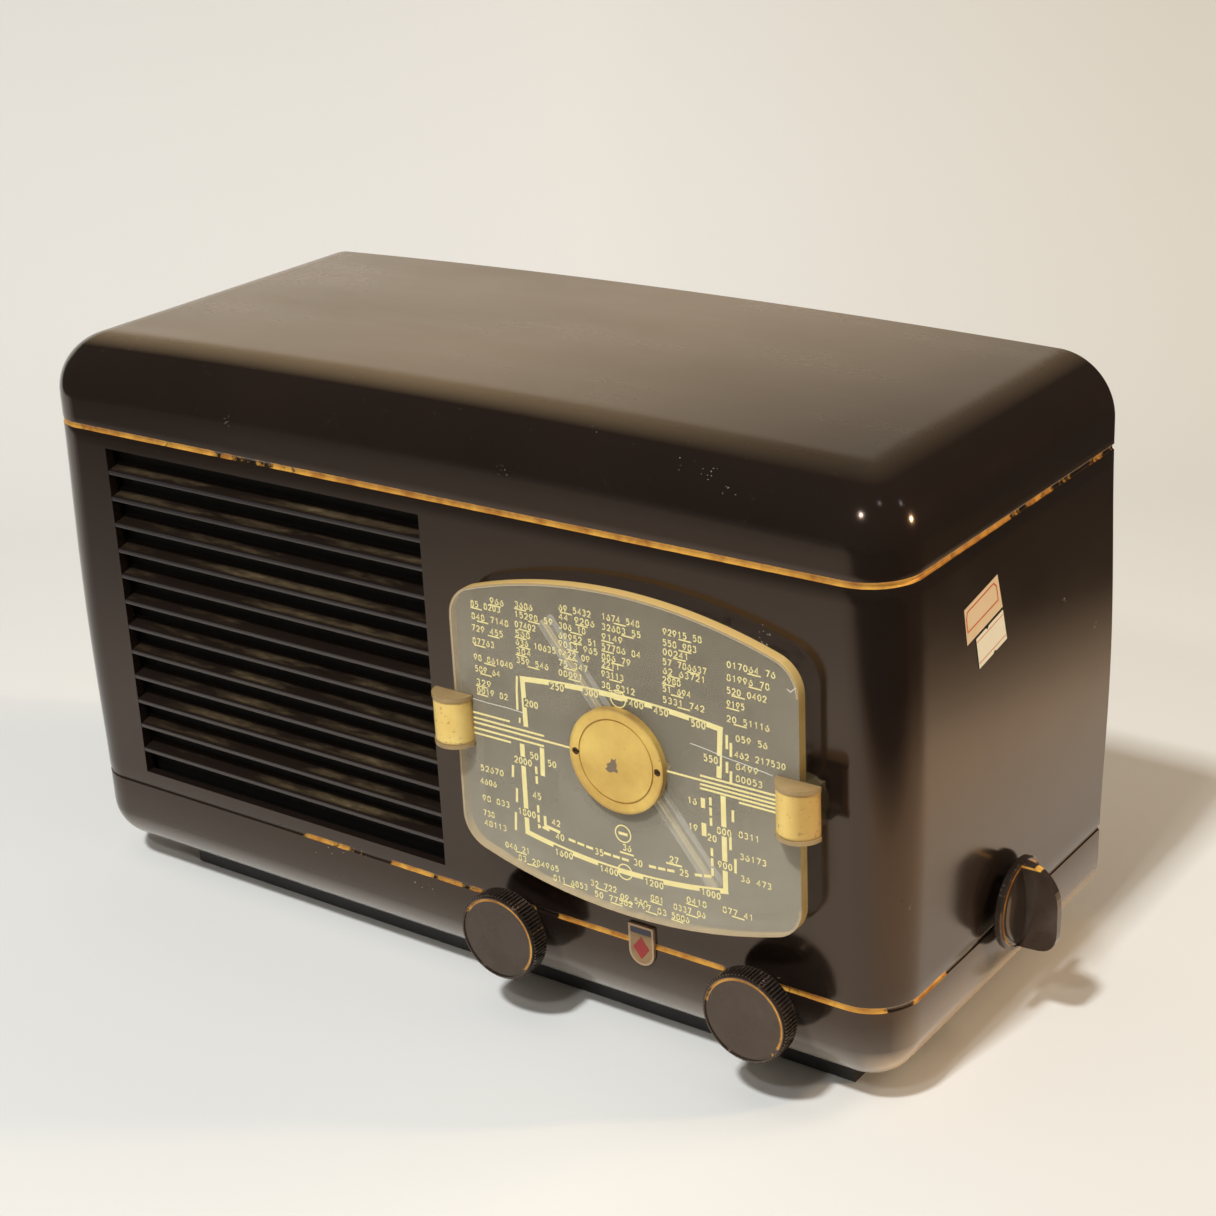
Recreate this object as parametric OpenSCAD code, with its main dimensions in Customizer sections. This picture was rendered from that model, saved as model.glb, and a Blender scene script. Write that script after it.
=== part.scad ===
// Table tube radio: moulded cabinet with a louvred speaker grille, a clear dial
// plate on two holders, two ribbed front knobs, one finned side knob and the
// working parts inside. Units are millimetres. The origin is on the floor in the
// middle of all that the radio covers, knobs included, +X to the right along the
// front, +Z up, front at -Y. Dimensions are written from the middle of the cabinet.

/* [Cabinet] */
// Width across the widest part of the sides
body_w = 385; // [340:1:430]
// Depth from the front face to the rear rim
body_d = 161.5; // [156:0.5:180]
// Height of the moulding at the middle of its top
body_h = 221.7; // [219:0.1:240]
// Thickness of the moulded wall
wall = 4; // [3.2:0.1:4.4]
// Radius of the upright and lower edges
edge_r = 18.5; // [16:0.5:21]
// Radius of the upper edges
top_r = 23; // [19:0.5:26]
// Rise of the top from its side edges to its middle
crown = 2.7; // [0.5:0.1:4]
// Bulge of each side at half height
side_bulge = 2; // [0.5:0.1:3]

/* [Gold grooves] */
// Height of the lower groove above the underside
groove_z = 32.7; // [31:0.1:34]
// Height between the two grooves
groove_gap = 152.9; // [151:0.1:155]
// Height of the middle of the dial and the grille above the lower groove
middle_rise = 76; // [74:0.5:78]
// Width of a groove
groove_w = 1.8; // [1.2:0.1:2.4]
// Depth of a groove
groove_deep = 1; // [0.6:0.1:1.8]

/* [Runners] */
// Height of the runners under the cabinet
runner_h = 9; // [6:0.5:12]
// Distance of each runner's ends from the sides, on the average
runner_in = 32.5; // [26:0.5:60]
// Thickness of each runner from front to back
runner_t = 14; // [10:0.5:18]

/* [Grille] */
// Distance of the grille opening from the cabinet's side
grille_side = 33.5; // [29:0.5:40]
// Distance by which the grille opening passes the cabinet's middle
grille_past = 0.5; // [-4:0.5:1]
// Height of the grille opening
grille_h = 139.6; // [130:0.1:142]
// Number of slats across the opening
slat_n = 12; // [8:1:13]
// Height of a slat's front lip
slat_lip = 1.7; // [1.2:0.1:2.2]
// Depth of a slat from front to back
slat_deep = 7; // [5:0.1:7.2]
// Rise of a slat towards its back
slat_rise = 1.5; // [0.5:0.1:3]

/* [Dial] */
// Distance of the clear plate from the cabinet's side
dial_side = 29.4; // [26:0.2:36]
// Distance of the clear plate from the cabinet's middle
dial_middle = 18.9; // [17:0.1:22]
// Height of the clear dial plate
dial_h = 121.2; // [114:0.2:126]
// Radius of the plate's long top and bottom curves
dial_arc_r = 200; // [170:5:260]
// Radius of the plate's corners
dial_corner_r = 13; // [8:0.5:16]
// Thickness of the dial plate
dial_t = 4; // [3:0.1:4.4]
// Gap between the cabinet and the dial plate
dial_gap = 4.8; // [4.6:0.1:6]
// Radius of the middle disc
disc_r = 19.3; // [17:0.1:21]
// Thickness of the middle disc
disc_t = 2.5; // [2:0.1:3.5]

/* [Dial holders] */
// Radius of a holder's rounded front
holder_r = 7.9; // [7.6:0.1:9]
// Height of a holder
holder_h = 19.5; // [17:0.5:24]
// Thickness of a holder's clear lip
lip_t = 1.5; // [1.2:0.1:2.2]
// Radius of the round foot behind the plate
foot_r = 8.5; // [7.5:0.1:9]

/* [Pointer] */
// Half length of the pointer
pointer_half = 54.5; // [48:0.5:57]
// Width of the pointer bar
pointer_w = 7; // [5:0.2:9]
// Thickness of the pointer bar
pointer_t = 1.4; // [1:0.1:1.8]
// Angle of the pointer's upper end, from the right, at rest
pointer_angle = 128.7; // [120:0.1:135]

/* [Knobs] */
// Radius of a front knob
knob_r = 16.8; // [15:0.1:18]
// Thickness of a front knob's ribbed part
knob_t = 8.3; // [7:0.1:9]
// Distance of a front knob's face from the cabinet
knob_reach = 17.2; // [16.6:0.1:19]
// Number of ribs on a front knob
rib_n = 76; // [40:1:90]
// Depth of a rib
rib_deep = 0.7; // [0.4:0.1:1]
// Distance between the front knobs
knob_gap = 105; // [100:0.5:108]
// Drop of the knobs below the lower groove
knob_drop = 5.4; // [4:0.1:7]
// Radius of the side knob's base
band_r = 17.2; // [16:0.1:19]
// Thickness of the side knob's base
band_t = 3; // [2.6:0.1:4.5]
// Gap between the cabinet and the side knob's base
band_gap = 3; // [1:0.1:4]
// Rise of the side knob's domed face inside its ring
dome_h = 2; // [0.5:0.1:3]
// Height of the side knob's fin above its base
fin_h = 14; // [11:0.1:16]
// Thickness of the fin
fin_t = 3.2; // [2.6:0.1:4.5]
// Radius of the control spindles
spindle_r = 3; // [2.8:0.05:3.1]

/* [Speaker] */
// Outer radius of the loudspeaker frame
speaker_r = 76; // [74:0.5:77]
// Depth of the loudspeaker's basket
basket_deep = 42; // [40:0.5:44]
// Radius of the loudspeaker's magnet pot
magnet_r = 28; // [26:0.5:29]
// Thickness of the baffle board
baffle_t = 4; // [3:0.1:4.5]

/* [Chassis] */
// Height of the chassis deck above the floor
deck_z = 72; // [71:0.5:74]
// Thickness of the chassis sheet
sheet = 1.5; // [1.2:0.1:1.8]
// Radius of the drive drum
drum_r = 38; // [34:0.5:39]
// Radius of the valve bulbs
valve_r = 14; // [12:0.5:14.5]
// Height of the valve bulbs
valve_h = 62; // [50:1:68]

/* [Hidden] */
$fn = 48;
run = 0.05;
y_front = -body_d/2;
y_rear = body_d/2;
z_low = runner_h;
z_high = runner_h + body_h;
y_wall = y_front + wall;
lower_z = z_low + groove_z;
upper_z = lower_z + groove_gap;
mid_z = lower_z + middle_rise;
half_w = body_w/2 - side_bulge;
grille_w = half_w - grille_side + grille_past;
grille_x = grille_past - grille_w/2;
dial_w = half_w - dial_side - dial_middle;
dial_x = dial_middle + dial_w/2;
grille_pitch = (grille_h + slat_lip)/(slat_n + 1);
slot_h = grille_pitch - slat_lip;
plate_back = y_front - dial_gap;
plate_front = plate_back - dial_t;
hold_x = dial_w/2;
foot_x = hold_x - 2.6;
screw_x = disc_r - 2.4;
volume_x = dial_x - knob_gap/2;
tuning_x = dial_x + knob_gap/2;
knob_z = lower_z - knob_drop;
band_y = 1.75;
band_z = lower_z + 7;
side_x = half_w + side_bulge*0.3;
band_x = side_x + band_gap;
cloth_y = y_front + slat_deep + 0.8;
cloth_t = 0.6;
baffle_y = cloth_y + cloth_t;
speaker_y = baffle_y + baffle_t;
baffle_x0 = -half_w + 16.5;
baffle_x1 = dial_x - foot_x - 9.5;
baffle_z0 = mid_z - 82;
baffle_z1 = mid_z + 82;
baffle_screw_x = [baffle_x0 + 8, baffle_x1 - 6];
baffle_screw_z = [mid_z - 74, mid_z + 74];
flange_y = y_front + 31;
back_y = y_rear - 10.75;
chassis_x0 = -half_w + 20.5;
chassis_x1 = half_w - 18.5;
notch_x = baffle_x1 - 4;
notch_y = -12;
skirt_z = z_low + wall + 5;
drum_y = y_front + 19.75;
drum_t = 5;
spool_r = 3.85;
cord_r = 0.45;
cover_t = 3.2;
cover_y = y_rear - 2 - cover_t;
lug_x = half_w - 10.5;
lug_z = [z_low + 28, z_high - 30];
cap_y0 = -28;
cap_y1 = 26;
cap_half = 27;
socket_h = 8;
panel_z = 46;
aerial_x = dial_x + 30;
inlet_x = chassis_x0 + 40;
mains_x = chassis_x0 + 62;
output_x = chassis_x0 + 124;
can_x = output_x + 16;
can_y = 10;
switch_x = [chassis_x1 - 48.8, chassis_x1 - 28.8];
bolt_r = speaker_r - 4.2;
nut_y = y_wall + 0.15;
frontmost = min(y_front - knob_reach, plate_front - holder_r - 0.4);
rightmost = band_x + band_t + fin_h;
origin_x = (rightmost - half_w - side_bulge)/2;
origin_y = (frontmost + y_rear)/2;
bolt_x = [chassis_x0 + 12, chassis_x1 - 12];
bolt_y = [10, back_y - 12];

// Outline of a rounded rectangle; low is the radius of its lower corners, if another.
function rounded(w, h, r, n = 6, low = 0) = [
  for (c = [[1, 1, 0], [-1, 1, 90], [-1, -1, 180], [1, -1, 270]])
    let (q = c[1] < 0 && low > 0 ? low : r)
      for (i = [0:n])
        [c[0]*(w/2 - q) + q*cos(c[2] + i*90/n), c[1]*(h/2 - q) + q*sin(c[2] + i*90/n)]
];

// Quarter of the dial outline: half of the long curve, then the corner.
corner_x = dial_w/2 - dial_corner_r;
corner_z = dial_h/2 - dial_arc_r + sqrt(pow(dial_arc_r - dial_corner_r, 2) - pow(corner_x, 2));
join_a = acos(corner_x/(dial_arc_r - dial_corner_r));
function quarter() = concat(
  [for (i = [0:7])
    let (a = join_a*i/7)
      [corner_x + dial_corner_r*cos(a), corner_z + dial_corner_r*sin(a)]],
  [for (i = [1:7])
    let (a = join_a + (90 - join_a)*i/7)
      [dial_arc_r*cos(a), dial_h/2 - dial_arc_r + dial_arc_r*sin(a)]]
);
function dial_outline() =
  let (q = quarter(), m = len(q))
    concat(
      q,
      [for (i = [1:m - 1]) [-q[m - 1 - i][0], q[m - 1 - i][1]]],
      [for (i = [0:m - 1]) [-q[i][0], -q[i][1]]],
      [for (i = [1:m - 1]) [q[m - 1 - i][0], -q[m - 1 - i][1]]]
    );

// Moves a part drawn from the cabinet's middle to the origin of the whole radio.
module placed() {
  translate([-origin_x, -origin_y, 0]) children();
}

module along_y(x, y, z) {
  translate([x, y, z]) rotate([-90, 0, 0]) children();
}

module along_x(x, y, z) {
  translate([x, y, z]) rotate([0, 90, 0]) children();
}

// Flat shapes seen from the front: their thickness grows towards the viewer.
module facing(x, y, z) {
  translate([x, y, z]) rotate([90, 0, 0]) children();
}

module mirror_dial() {
  translate([dial_x, 0, 0]) mirror([1, 0, 0]) translate([-dial_x, 0, 0]) children();
}

// Outer or inner form of the moulding: bulged sides, crowned top, rounder above.
module body_form(inset) {
  r = edge_r - inset;
  low = z_low + edge_r;
  high = z_high - crown - top_r;
  side = half_w - edge_r;
  shoulder = half_w - top_r;
  hull()
    for (s = [-1, 1]) {
      for (y = [y_front + edge_r, y_rear + edge_r]) {
        translate([s*side, y, low]) sphere(r, $fn = 32);
        translate([s*(side + side_bulge), y, (low + high)/2]) sphere(r, $fn = 32);
        translate([s*side, y, high]) sphere(r, $fn = 32);
      }
      for (y = [y_front + top_r, y_rear + top_r], k = [[1, 0], [0.45, crown]])
        translate([s*shoulder*k[0], y, high + k[1]]) sphere(top_r - inset, $fn = 32);
    }
}

module groove_ring(z) {
  r = edge_r - groove_deep;
  w = 2*(half_w + side_bulge*0.16 - groove_deep);
  translate([0, 0, z - groove_w/2]) linear_extrude(groove_w)
    difference() {
      translate([-body_w, y_front - 20]) square([2*body_w, body_d + 40]);
      translate([0, y_front + groove_deep + 200]) polygon(rounded(w, 400, r, 8));
    }
}

module slats() {
  x0 = grille_x - grille_w/2 - 1;
  for (i = [1:slat_n]) {
    z = mid_z - grille_h/2 + i*grille_pitch - slat_lip;
    translate([x0, 0, 0]) rotate([90, 0, 90]) linear_extrude(grille_w + 2)
      polygon([[y_front, z], [y_front, z + slat_lip], [y_front + 0.8, z + slat_lip],
        [y_front + slat_deep, z + slat_lip + slat_rise],
        [y_front + slat_deep, z + slat_rise], [y_front + 1, z]]);
  }
}

module cabinet() {
  color("#3a2a22") {
    difference() {
      union() {
        difference() {
          body_form(0);
          body_form(wall);
        }
        for (x = baffle_screw_x, z = baffle_screw_z)
          along_y(x, y_wall - 1, z) cylinder(r = 4.5, h = baffle_y - y_wall + 1);
        for (x = bolt_x, y = bolt_y)
          translate([x, y, z_low + wall - 1]) cylinder(r = 7, h = skirt_z - z_low - wall + 1);
        for (s = [-1, 1], z = lug_z)
          translate([s > 0 ? lug_x - 5.2 : -half_w + 2, cover_y - 14, z - 6])
            cube([half_w - 2 - lug_x + 5.2, 14, 12]);
      }
      translate([-body_w, y_rear, -1]) cube([2*body_w, 60, z_high + 20]);
      translate([grille_x - grille_w/2, y_front - 1, mid_z - grille_h/2])
        cube([grille_w, wall + 3, grille_h]);
      groove_ring(lower_z);
      groove_ring(upper_z);
      along_y(volume_x, y_front - 1, knob_z) cylinder(r = 4, h = wall + 3);
      along_y(tuning_x, y_front - 1, knob_z) cylinder(r = 4, h = wall + 3);
      along_y(dial_x, y_front - 1, mid_z) cylinder(r = 6, h = wall + 3);
      for (s = [-1, 1])
        along_y(dial_x + s*foot_x, y_front - 1, mid_z) cylinder(r = 5.1, h = wall + 3);
      along_x(side_x - wall - 4, band_y, band_z) cylinder(r = 4, h = wall + 8);
      for (x = baffle_screw_x, z = baffle_screw_z)
        along_y(x, y_front + 2.4, z) cylinder(r = 1.3, h = baffle_y - y_front);
      for (x = bolt_x, y = bolt_y)
        translate([x, y, z_low - 1]) cylinder(r = 2.2, h = 20);
      for (s = [-1, 1], z = lug_z)
        along_y(s*lug_x, cover_y - 11, z) cylinder(r = 1.5, h = 20);
    }
    slats();
  }
}

module runner(y) {
  length = 2*(half_w - runner_in);
  translate([8, y, 0]) rotate([90, 0, 90]) translate([0, 0, -length/2])
    linear_extrude(length)
      polygon([[1, 0], [runner_t - 1, 0], [runner_t, 1.2], [runner_t, runner_h],
        [0, runner_h], [0, 1.2]]);
}

module front_runner() {
  color("#2b211d") runner(y_front + 16.5);
}

module rear_runner() {
  color("#2b211d") runner(y_rear - 42);
}

module badge() {
  w = 10.7;
  color("#b58a3c") facing(dial_x, y_front, lower_z - 0.6) linear_extrude(1.2)
    polygon(concat([[w/2, 8], [-w/2, 8]],
      [for (a = [180:12:360]) [w/2*cos(a), -2.6 + w/2*sin(a)]]));
}

module grille_cloth() {
  w = grille_w + 2.9;
  h = grille_h + 2.4;
  color("#4a4038") translate([grille_x - grille_w/2 - 1.5, cloth_y, mid_z - h/2])
    cube([w, cloth_t, h]);
}

module speaker_baffle() {
  color("#8a6a45") difference() {
    translate([baffle_x0, baffle_y, baffle_z0])
      cube([baffle_x1 - baffle_x0, baffle_t, baffle_z1 - baffle_z0]);
    along_y(grille_x, baffle_y - 1, mid_z) cylinder(r = 61, h = baffle_t + 2, $fn = 96);
    for (x = baffle_screw_x, z = baffle_screw_z)
      along_y(x, baffle_y - 1, z) cylinder(r = 1.6, h = baffle_t + 2);
    for (a = [45:90:315])
      along_y(grille_x, baffle_y - 1, mid_z) rotate(a) translate([bolt_r, 0, 0])
        cylinder(r = 2.1, h = baffle_t + 2);
  }
}

module baffle_screws() {
  color("#a8a8a0") for (x = baffle_screw_x, z = baffle_screw_z) {
    along_y(x, baffle_y - 3.5, z) cylinder(r = 1.25, h = baffle_t + 4);
    along_y(x, baffle_y + baffle_t, z) cylinder(r = 3, h = 1.8);
  }
}

module speaker_frame() {
  b = basket_deep;
  color("#7d7f82") along_y(grille_x, speaker_y, mid_z) {
    difference() {
      rotate_extrude($fn = 96)
        polygon([[58, 0], [speaker_r, 0], [speaker_r, 1.5], [68.2, 1.5], [65.6, 8],
          [35, b - 4], [31, b], [31, b + 1.5], [14, b + 1.5], [14, b],
          [30, b], [33.6, b - 4.6], [35.4, b - 6], [13.5, b - 6], [13.5, b - 6.8],
          [36.2, b - 6.8], [63.9, 7.6], [65.7, 1.5], [58, 1.5]]);
      for (a = [0:60:300])
        rotate(a) translate([40, -12, 11]) cube([40, 24, 17]);
      for (a = [45:90:315])
        rotate(a) translate([bolt_r, 0, -1]) cylinder(r = 2.1, h = 4);
    }
  }
}

module speaker_cone() {
  color("#2c2a28") along_y(grille_x, speaker_y, mid_z) {
    rotate_extrude($fn = 96)
      polygon([[60, 3.2], [62.6, 3.2], [62.6, 4], [60.4, 4.2], [13.6, 31], [13.1, 31.4],
        [13.1, 50], [12.55, 50], [12.55, 30], [13.1, 29.4], [56, 5]]);
    translate([0, 0, 27.4]) rotate_extrude()
      polygon([[0, 0], [6, 0.7], [10, 2], [13, 4], [12.6, 4.6], [9.6, 2.7], [5.8, 1.4], [0, 0.7]]);
  }
}

module speaker_magnet() {
  b = basket_deep + 1.5;
  color("#55585c") along_y(grille_x, speaker_y + b, mid_z) {
    rotate_extrude()
      polygon([[13.65, 0], [magnet_r, 0], [magnet_r, 18], [magnet_r - 1.5, 19.5], [0, 19.5],
        [0, 15.5], [20, 15.5], [20, 4], [13.65, 4]]);
    translate([0, 0, 0]) cylinder(r = 12, h = 17);
  }
}

module speaker_bolts() {
  color("#a8a8a0") along_y(grille_x, baffle_y, mid_z)
    for (a = [45:90:315])
      rotate(a) translate([bolt_r, 0, 0]) {
        cylinder(r = 1.9, h = baffle_t + 5);
        translate([0, 0, baffle_t + 1.5]) cylinder(r = 3.2, h = 2.6, $fn = 6);
      }
}

module dial_plate() {
  color("#cfc8ae", 0.5) facing(dial_x, plate_back, mid_z) difference() {
    linear_extrude(dial_t) polygon(dial_outline());
    for (s = [-1, 1])
      translate([s*screw_x, 0, -1]) cylinder(r = 1.1, h = dial_t + 2);
  }
}

module dial_disc() {
  color("#e6cf8c") facing(dial_x, plate_front, mid_z) difference() {
    cylinder(r = disc_r, h = disc_t, $fn = 96);
    translate([0, 0, disc_t - 0.5]) difference() {
      cylinder(r = disc_r - 3.7, h = 1, $fn = 96);
      translate([0, 0, -1]) cylinder(r = disc_r - 4.3, h = 3, $fn = 96);
    }
    for (s = [-1, 1])
      translate([s*screw_x, 0, -1]) cylinder(r = 1.4, h = disc_t + 2);
  }
}

module disc_screws() {
  color("#6b5a3a") for (s = [-1, 1])
    facing(dial_x + s*screw_x, plate_back - 0.6, mid_z) difference() {
      union() {
        cylinder(r = 1.05, h = dial_t + disc_t - 1);
        translate([0, 0, dial_t]) cylinder(r = 1.35, h = disc_t - 0.9);
      }
      translate([-2, -0.2, dial_t + disc_t - 1.5]) cube([4, 0.4, 2]);
    }
}

// Rounded front of a holder, drawn over the plate's edge with its flat on the plate.
module half_round(r, z0, h) {
  translate([dial_x + hold_x, plate_front, z0]) difference() {
    cylinder(r = r, h = h);
    translate([-2*r, -0.05, -1]) cube([4*r, 2*r, h + 2]);
  }
}

module holder() {
  z0 = mid_z - holder_h/2;
  color("#c9b27a", 0.7) difference() {
    union() {
      half_round(holder_r - 3, z0 + 0.5, holder_h - 1);
      half_round(holder_r + 0.4, z0, lip_t);
      half_round(holder_r + 0.4, z0 + holder_h - lip_t, lip_t);
      translate([dial_x + hold_x + 0.15, plate_front - 1, z0 + 2])
        cube([5.2, dial_t + dial_gap - 0.5, holder_h - 4]);
      facing(dial_x + foot_x, y_front, mid_z) cylinder(r = foot_r, h = dial_gap - 0.1);
      along_y(dial_x + foot_x, y_front - 1, mid_z) cylinder(r = 5, h = wall + 4);
    }
    along_y(dial_x + foot_x, y_wall, mid_z) cylinder(r = 3.6, h = wall + 4);
  }
}

module right_holder() {
  holder();
}

module left_holder() {
  mirror_dial() holder();
}

module holder_cover() {
  z0 = mid_z - holder_h/2 + lip_t + 0.1;
  h = holder_h - 2*lip_t - 0.2;
  color("#e6cf8c") difference() {
    half_round(holder_r, z0, h);
    translate([dial_x + hold_x, plate_front, z0 - 1]) cylinder(r = holder_r - 2.95, h = h + 2);
    translate([dial_x + hold_x, plate_front - 1.1, z0 - 1]) cube([5.5, 3, h + 2]);
  }
}

module right_holder_cover() {
  holder_cover();
}

module left_holder_cover() {
  mirror_dial() holder_cover();
}

module holder_nuts() {
  color("#b08d4a") for (s = [-1, 1])
    along_y(dial_x + s*foot_x, nut_y, mid_z) difference() {
      cylinder(r = 8, h = 2.8, $fn = 6);
      translate([0, 0, -1]) cylinder(r = 5.02, h = 5);
    }
}

module lamp_shells() {
  color("#9a9c9e") for (s = [-1, 1])
    along_y(dial_x + s*foot_x, y_wall + 3, mid_z) difference() {
      cylinder(r = 6.8, h = 17);
      translate([0, 0, -1]) cylinder(r = 5.6, h = 16.5);
      translate([0, 0, 12]) cylinder(r = 2, h = 6);
    }
}

module lamp(x) {
  color("#e8e4d8") along_y(x, y_wall + 3, mid_z) {
    translate([0, 0, 9]) cylinder(r = 4.4, h = 6.5);
    rotate_extrude()
      polygon([[0, 1.2], [2.5, 1.7], [4, 3.2], [4.4, 5], [4, 7], [3.4, 9.5], [0, 9.5]]);
    translate([0, 0, 15]) cylinder(r = 1.6, h = 3.5);
  }
}

module left_lamp() {
  lamp(dial_x - foot_x);
}

module right_lamp() {
  lamp(dial_x + foot_x);
}

module pointer() {
  mid = dial_gap/2 + 0.2;
  color("#e9dfc4") facing(dial_x, y_front - mid + pointer_t/2, mid_z) difference() {
    rotate(pointer_angle) union() {
      linear_extrude(pointer_t) polygon(rounded(2*pointer_half, pointer_w, 1));
      cylinder(r = 6.5, h = pointer_t);
      translate([0, 0, -1]) cylinder(r = 5, h = pointer_t + 1.5);
    }
    translate([0, 0, -2]) cylinder(r = 3.02, h = pointer_t + 3.5);
  }
}

module pointer_shaft() {
  color("#8f9296") along_y(dial_x, y_front - dial_gap/2 - 1.2, mid_z) {
    cylinder(r = 3, h = cap_y1 + 4 - y_front + dial_gap/2 + 1.2);
  }
}

module pointer_bush() {
  color("#b08d4a") along_y(dial_x, y_front + 0.1, mid_z) difference() {
    union() {
      cylinder(r = 5.95, h = wall + 3);
      translate([0, 0, wall + 0.05]) cylinder(r = 9, h = 2, $fn = 6);
    }
    translate([0, 0, -1]) cylinder(r = 3 + run, h = wall + 6);
  }
}

module drive_drum() {
  r = drum_r;
  color("#c9b98a") along_y(dial_x, drum_y, mid_z) difference() {
    rotate_extrude($fn = 96)
      polygon([[3.02, -2], [7, -2], [7, 1.5], [r - 4, 1.5], [r - 4, 0], [r, 0], [r, 0.8],
        [r - 1.4, 2], [r - 1.4, 3], [r, 4.2], [r, drum_t], [r - 4, drum_t],
        [r - 4, 3.5], [7, 3.5], [7, drum_t + 3], [3.02, drum_t + 3]]);
    for (a = [90:120:330])
      rotate(a) translate([20, 0, 0]) cylinder(r = 8, h = drum_t);
  }
}

// Cord loop round the drum and the tuning spindle, drawn as two nested outlines.
module drive_cord() {
  dx = tuning_x - dial_x;
  dz = knob_z - mid_z;
  inner_big = drum_r - 1.4 + 0.35;
  inner_small = spindle_r + 0.4;
  w = 2*cord_r;
  color("#d8cfb4") facing(dial_x, drum_y + 2.5 + cord_r, mid_z) linear_extrude(w)
    difference() {
      hull() {
        circle(inner_big + w, $fn = 96);
        translate([dx, dz]) circle(inner_small + w, $fn = 32);
      }
      hull() {
        circle(inner_big, $fn = 96);
        translate([dx, dz]) circle(inner_small, $fn = 32);
      }
    }
}

module capacitor_frame() {
  z0 = mid_z - cap_half;
  h = 2*cap_half - 2;
  color("#9fa2a5") difference() {
    union() {
      translate([dial_x - cap_half, cap_y0, z0]) cube([2*cap_half, 2, h]);
      translate([dial_x - cap_half, cap_y1 - 2, z0]) cube([2*cap_half, 2, h]);
      translate([dial_x - cap_half, cap_y0, z0]) cube([2*cap_half, cap_y1 - cap_y0, 2]);
      for (s = [-1, 1])
        translate([dial_x + s*(cap_half - 1) - 1, cap_y0, z0])
          cube([2, cap_y1 - cap_y0, 5]);
    }
    along_y(dial_x, cap_y0 - 1, mid_z) cylinder(r = 3 + run, h = 60);
  }
}

module capacitor_stator() {
  z0 = mid_z - cap_half + 4.5;
  color("#c3c6c8") {
    difference() {
      for (i = [0:8])
        translate([dial_x - 24, cap_y0 + 7 + i*4.5, z0]) cube([48, 0.6, 21.5]);
      along_y(dial_x, cap_y0, mid_z) cylinder(r = 6, h = 60);
    }
    for (s = [-1, 1])
      along_y(dial_x + s*22, cap_y0 + 2, z0 + 3) cylinder(r = 1.6, h = cap_y1 - cap_y0 - 4);
  }
}

module capacitor_rotor() {
  color("#c3c6c8") difference() {
    union() {
      for (i = [0:7])
        along_y(dial_x, cap_y0 + 9.25 + i*4.5, mid_z) rotate(-38) difference() {
          cylinder(r = 20.5, h = 0.6);
          translate([-41, -30, -1]) cube([40, 60, 3]);
        }
      along_y(dial_x, cap_y0 + 5, mid_z) cylinder(r = 4.6, h = 42);
    }
    along_y(dial_x, cap_y0, mid_z) cylinder(r = 3.02, h = 60);
  }
}

module capacitor_bracket() {
  z1 = mid_z - cap_half;
  x0 = dial_x - 20;
  color("#9fa2a5") {
    translate([x0, cap_y0 + 2, z1 - sheet]) cube([40, cap_y1 - cap_y0 - 4, sheet]);
    for (x = [x0, x0 + 40 - sheet])
      translate([x, cap_y0 + 2, deck_z]) cube([sheet, cap_y1 - cap_y0 - 4, z1 - deck_z]);
    for (x = [x0 - 8, x0 + 40 - sheet])
      translate([x, cap_y0 + 8, deck_z]) cube([8 + sheet, cap_y1 - cap_y0 - 16, sheet]);
  }
}

function rib_ring(r) = [
  for (i = [0:rib_n - 1])
    for (k = [0:3])
      let (a = (i + [0, 0.5, 0.62, 0.88][k])*360/rib_n, q = k < 2 ? r : r - rib_deep)
        [q*cos(a), q*sin(a)]
];

// Front knob with its face towards the viewer, bored from behind for its spindle.
module front_knob(x) {
  color("#32261f") facing(x, y_front - knob_reach + knob_t, knob_z) difference() {
    union() {
      translate([0, 0, 0.8]) linear_extrude(knob_t - 1.6) polygon(rib_ring(knob_r));
      cylinder(r = knob_r - rib_deep - 0.1, h = knob_t, $fn = 96);
      translate([0, 0, -(knob_reach - knob_t - 0.9)])
        cylinder(r = 8, h = knob_reach - knob_t);
    }
    translate([0, 0, knob_t - 0.5]) difference() {
      cylinder(r = knob_r - 1.3, h = 1, $fn = 96);
      translate([0, 0, -1]) cylinder(r = knob_r - 2.2, h = 3, $fn = 96);
    }
    translate([0, 0, knob_t - 0.3]) cylinder(r = knob_r - 2.2, h = 1, $fn = 96);
    translate([0, 0, -knob_reach]) cylinder(r = spindle_r + 0.02, h = knob_reach + knob_t - 2.6);
  }
}

module tuning_knob() {
  front_knob(tuning_x);
}

module volume_knob() {
  front_knob(volume_x);
}

module tuning_spindle() {
  y0 = y_front - knob_reach + 2.8;
  color("#8f9296") {
    along_y(tuning_x, y0, knob_z) cylinder(r = spindle_r, h = flange_y + 8 - y0);
    along_y(tuning_x, flange_y - 4.2, knob_z) cylinder(r = 5, h = 1.2);
    along_y(tuning_x, flange_y + 6.4, knob_z) cylinder(r = 5, h = 1);
  }
}

module tuning_bush() {
  color("#b08d4a") along_y(tuning_x, flange_y - 2.6, knob_z) difference() {
    union() {
      cylinder(r = 5.4, h = 8.6);
      cylinder(r = 8, h = 2.6, $fn = 6);
      translate([0, 0, 4.1]) cylinder(r = 8, h = 2, $fn = 6);
    }
    translate([0, 0, -1]) cylinder(r = spindle_r + run, h = 12);
  }
}

module volume_spindle() {
  y0 = y_front - knob_reach + 2.8;
  color("#8f9296") {
    along_y(volume_x, y0, knob_z) cylinder(r = spindle_r, h = flange_y + 12 - y0);
    along_y(volume_x, flange_y + 5.5, knob_z) difference() {
      cylinder(r = 11, h = 1.6);
      translate([-12, -12, -1]) cube([24, 8, 4]);
    }
  }
}

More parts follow.
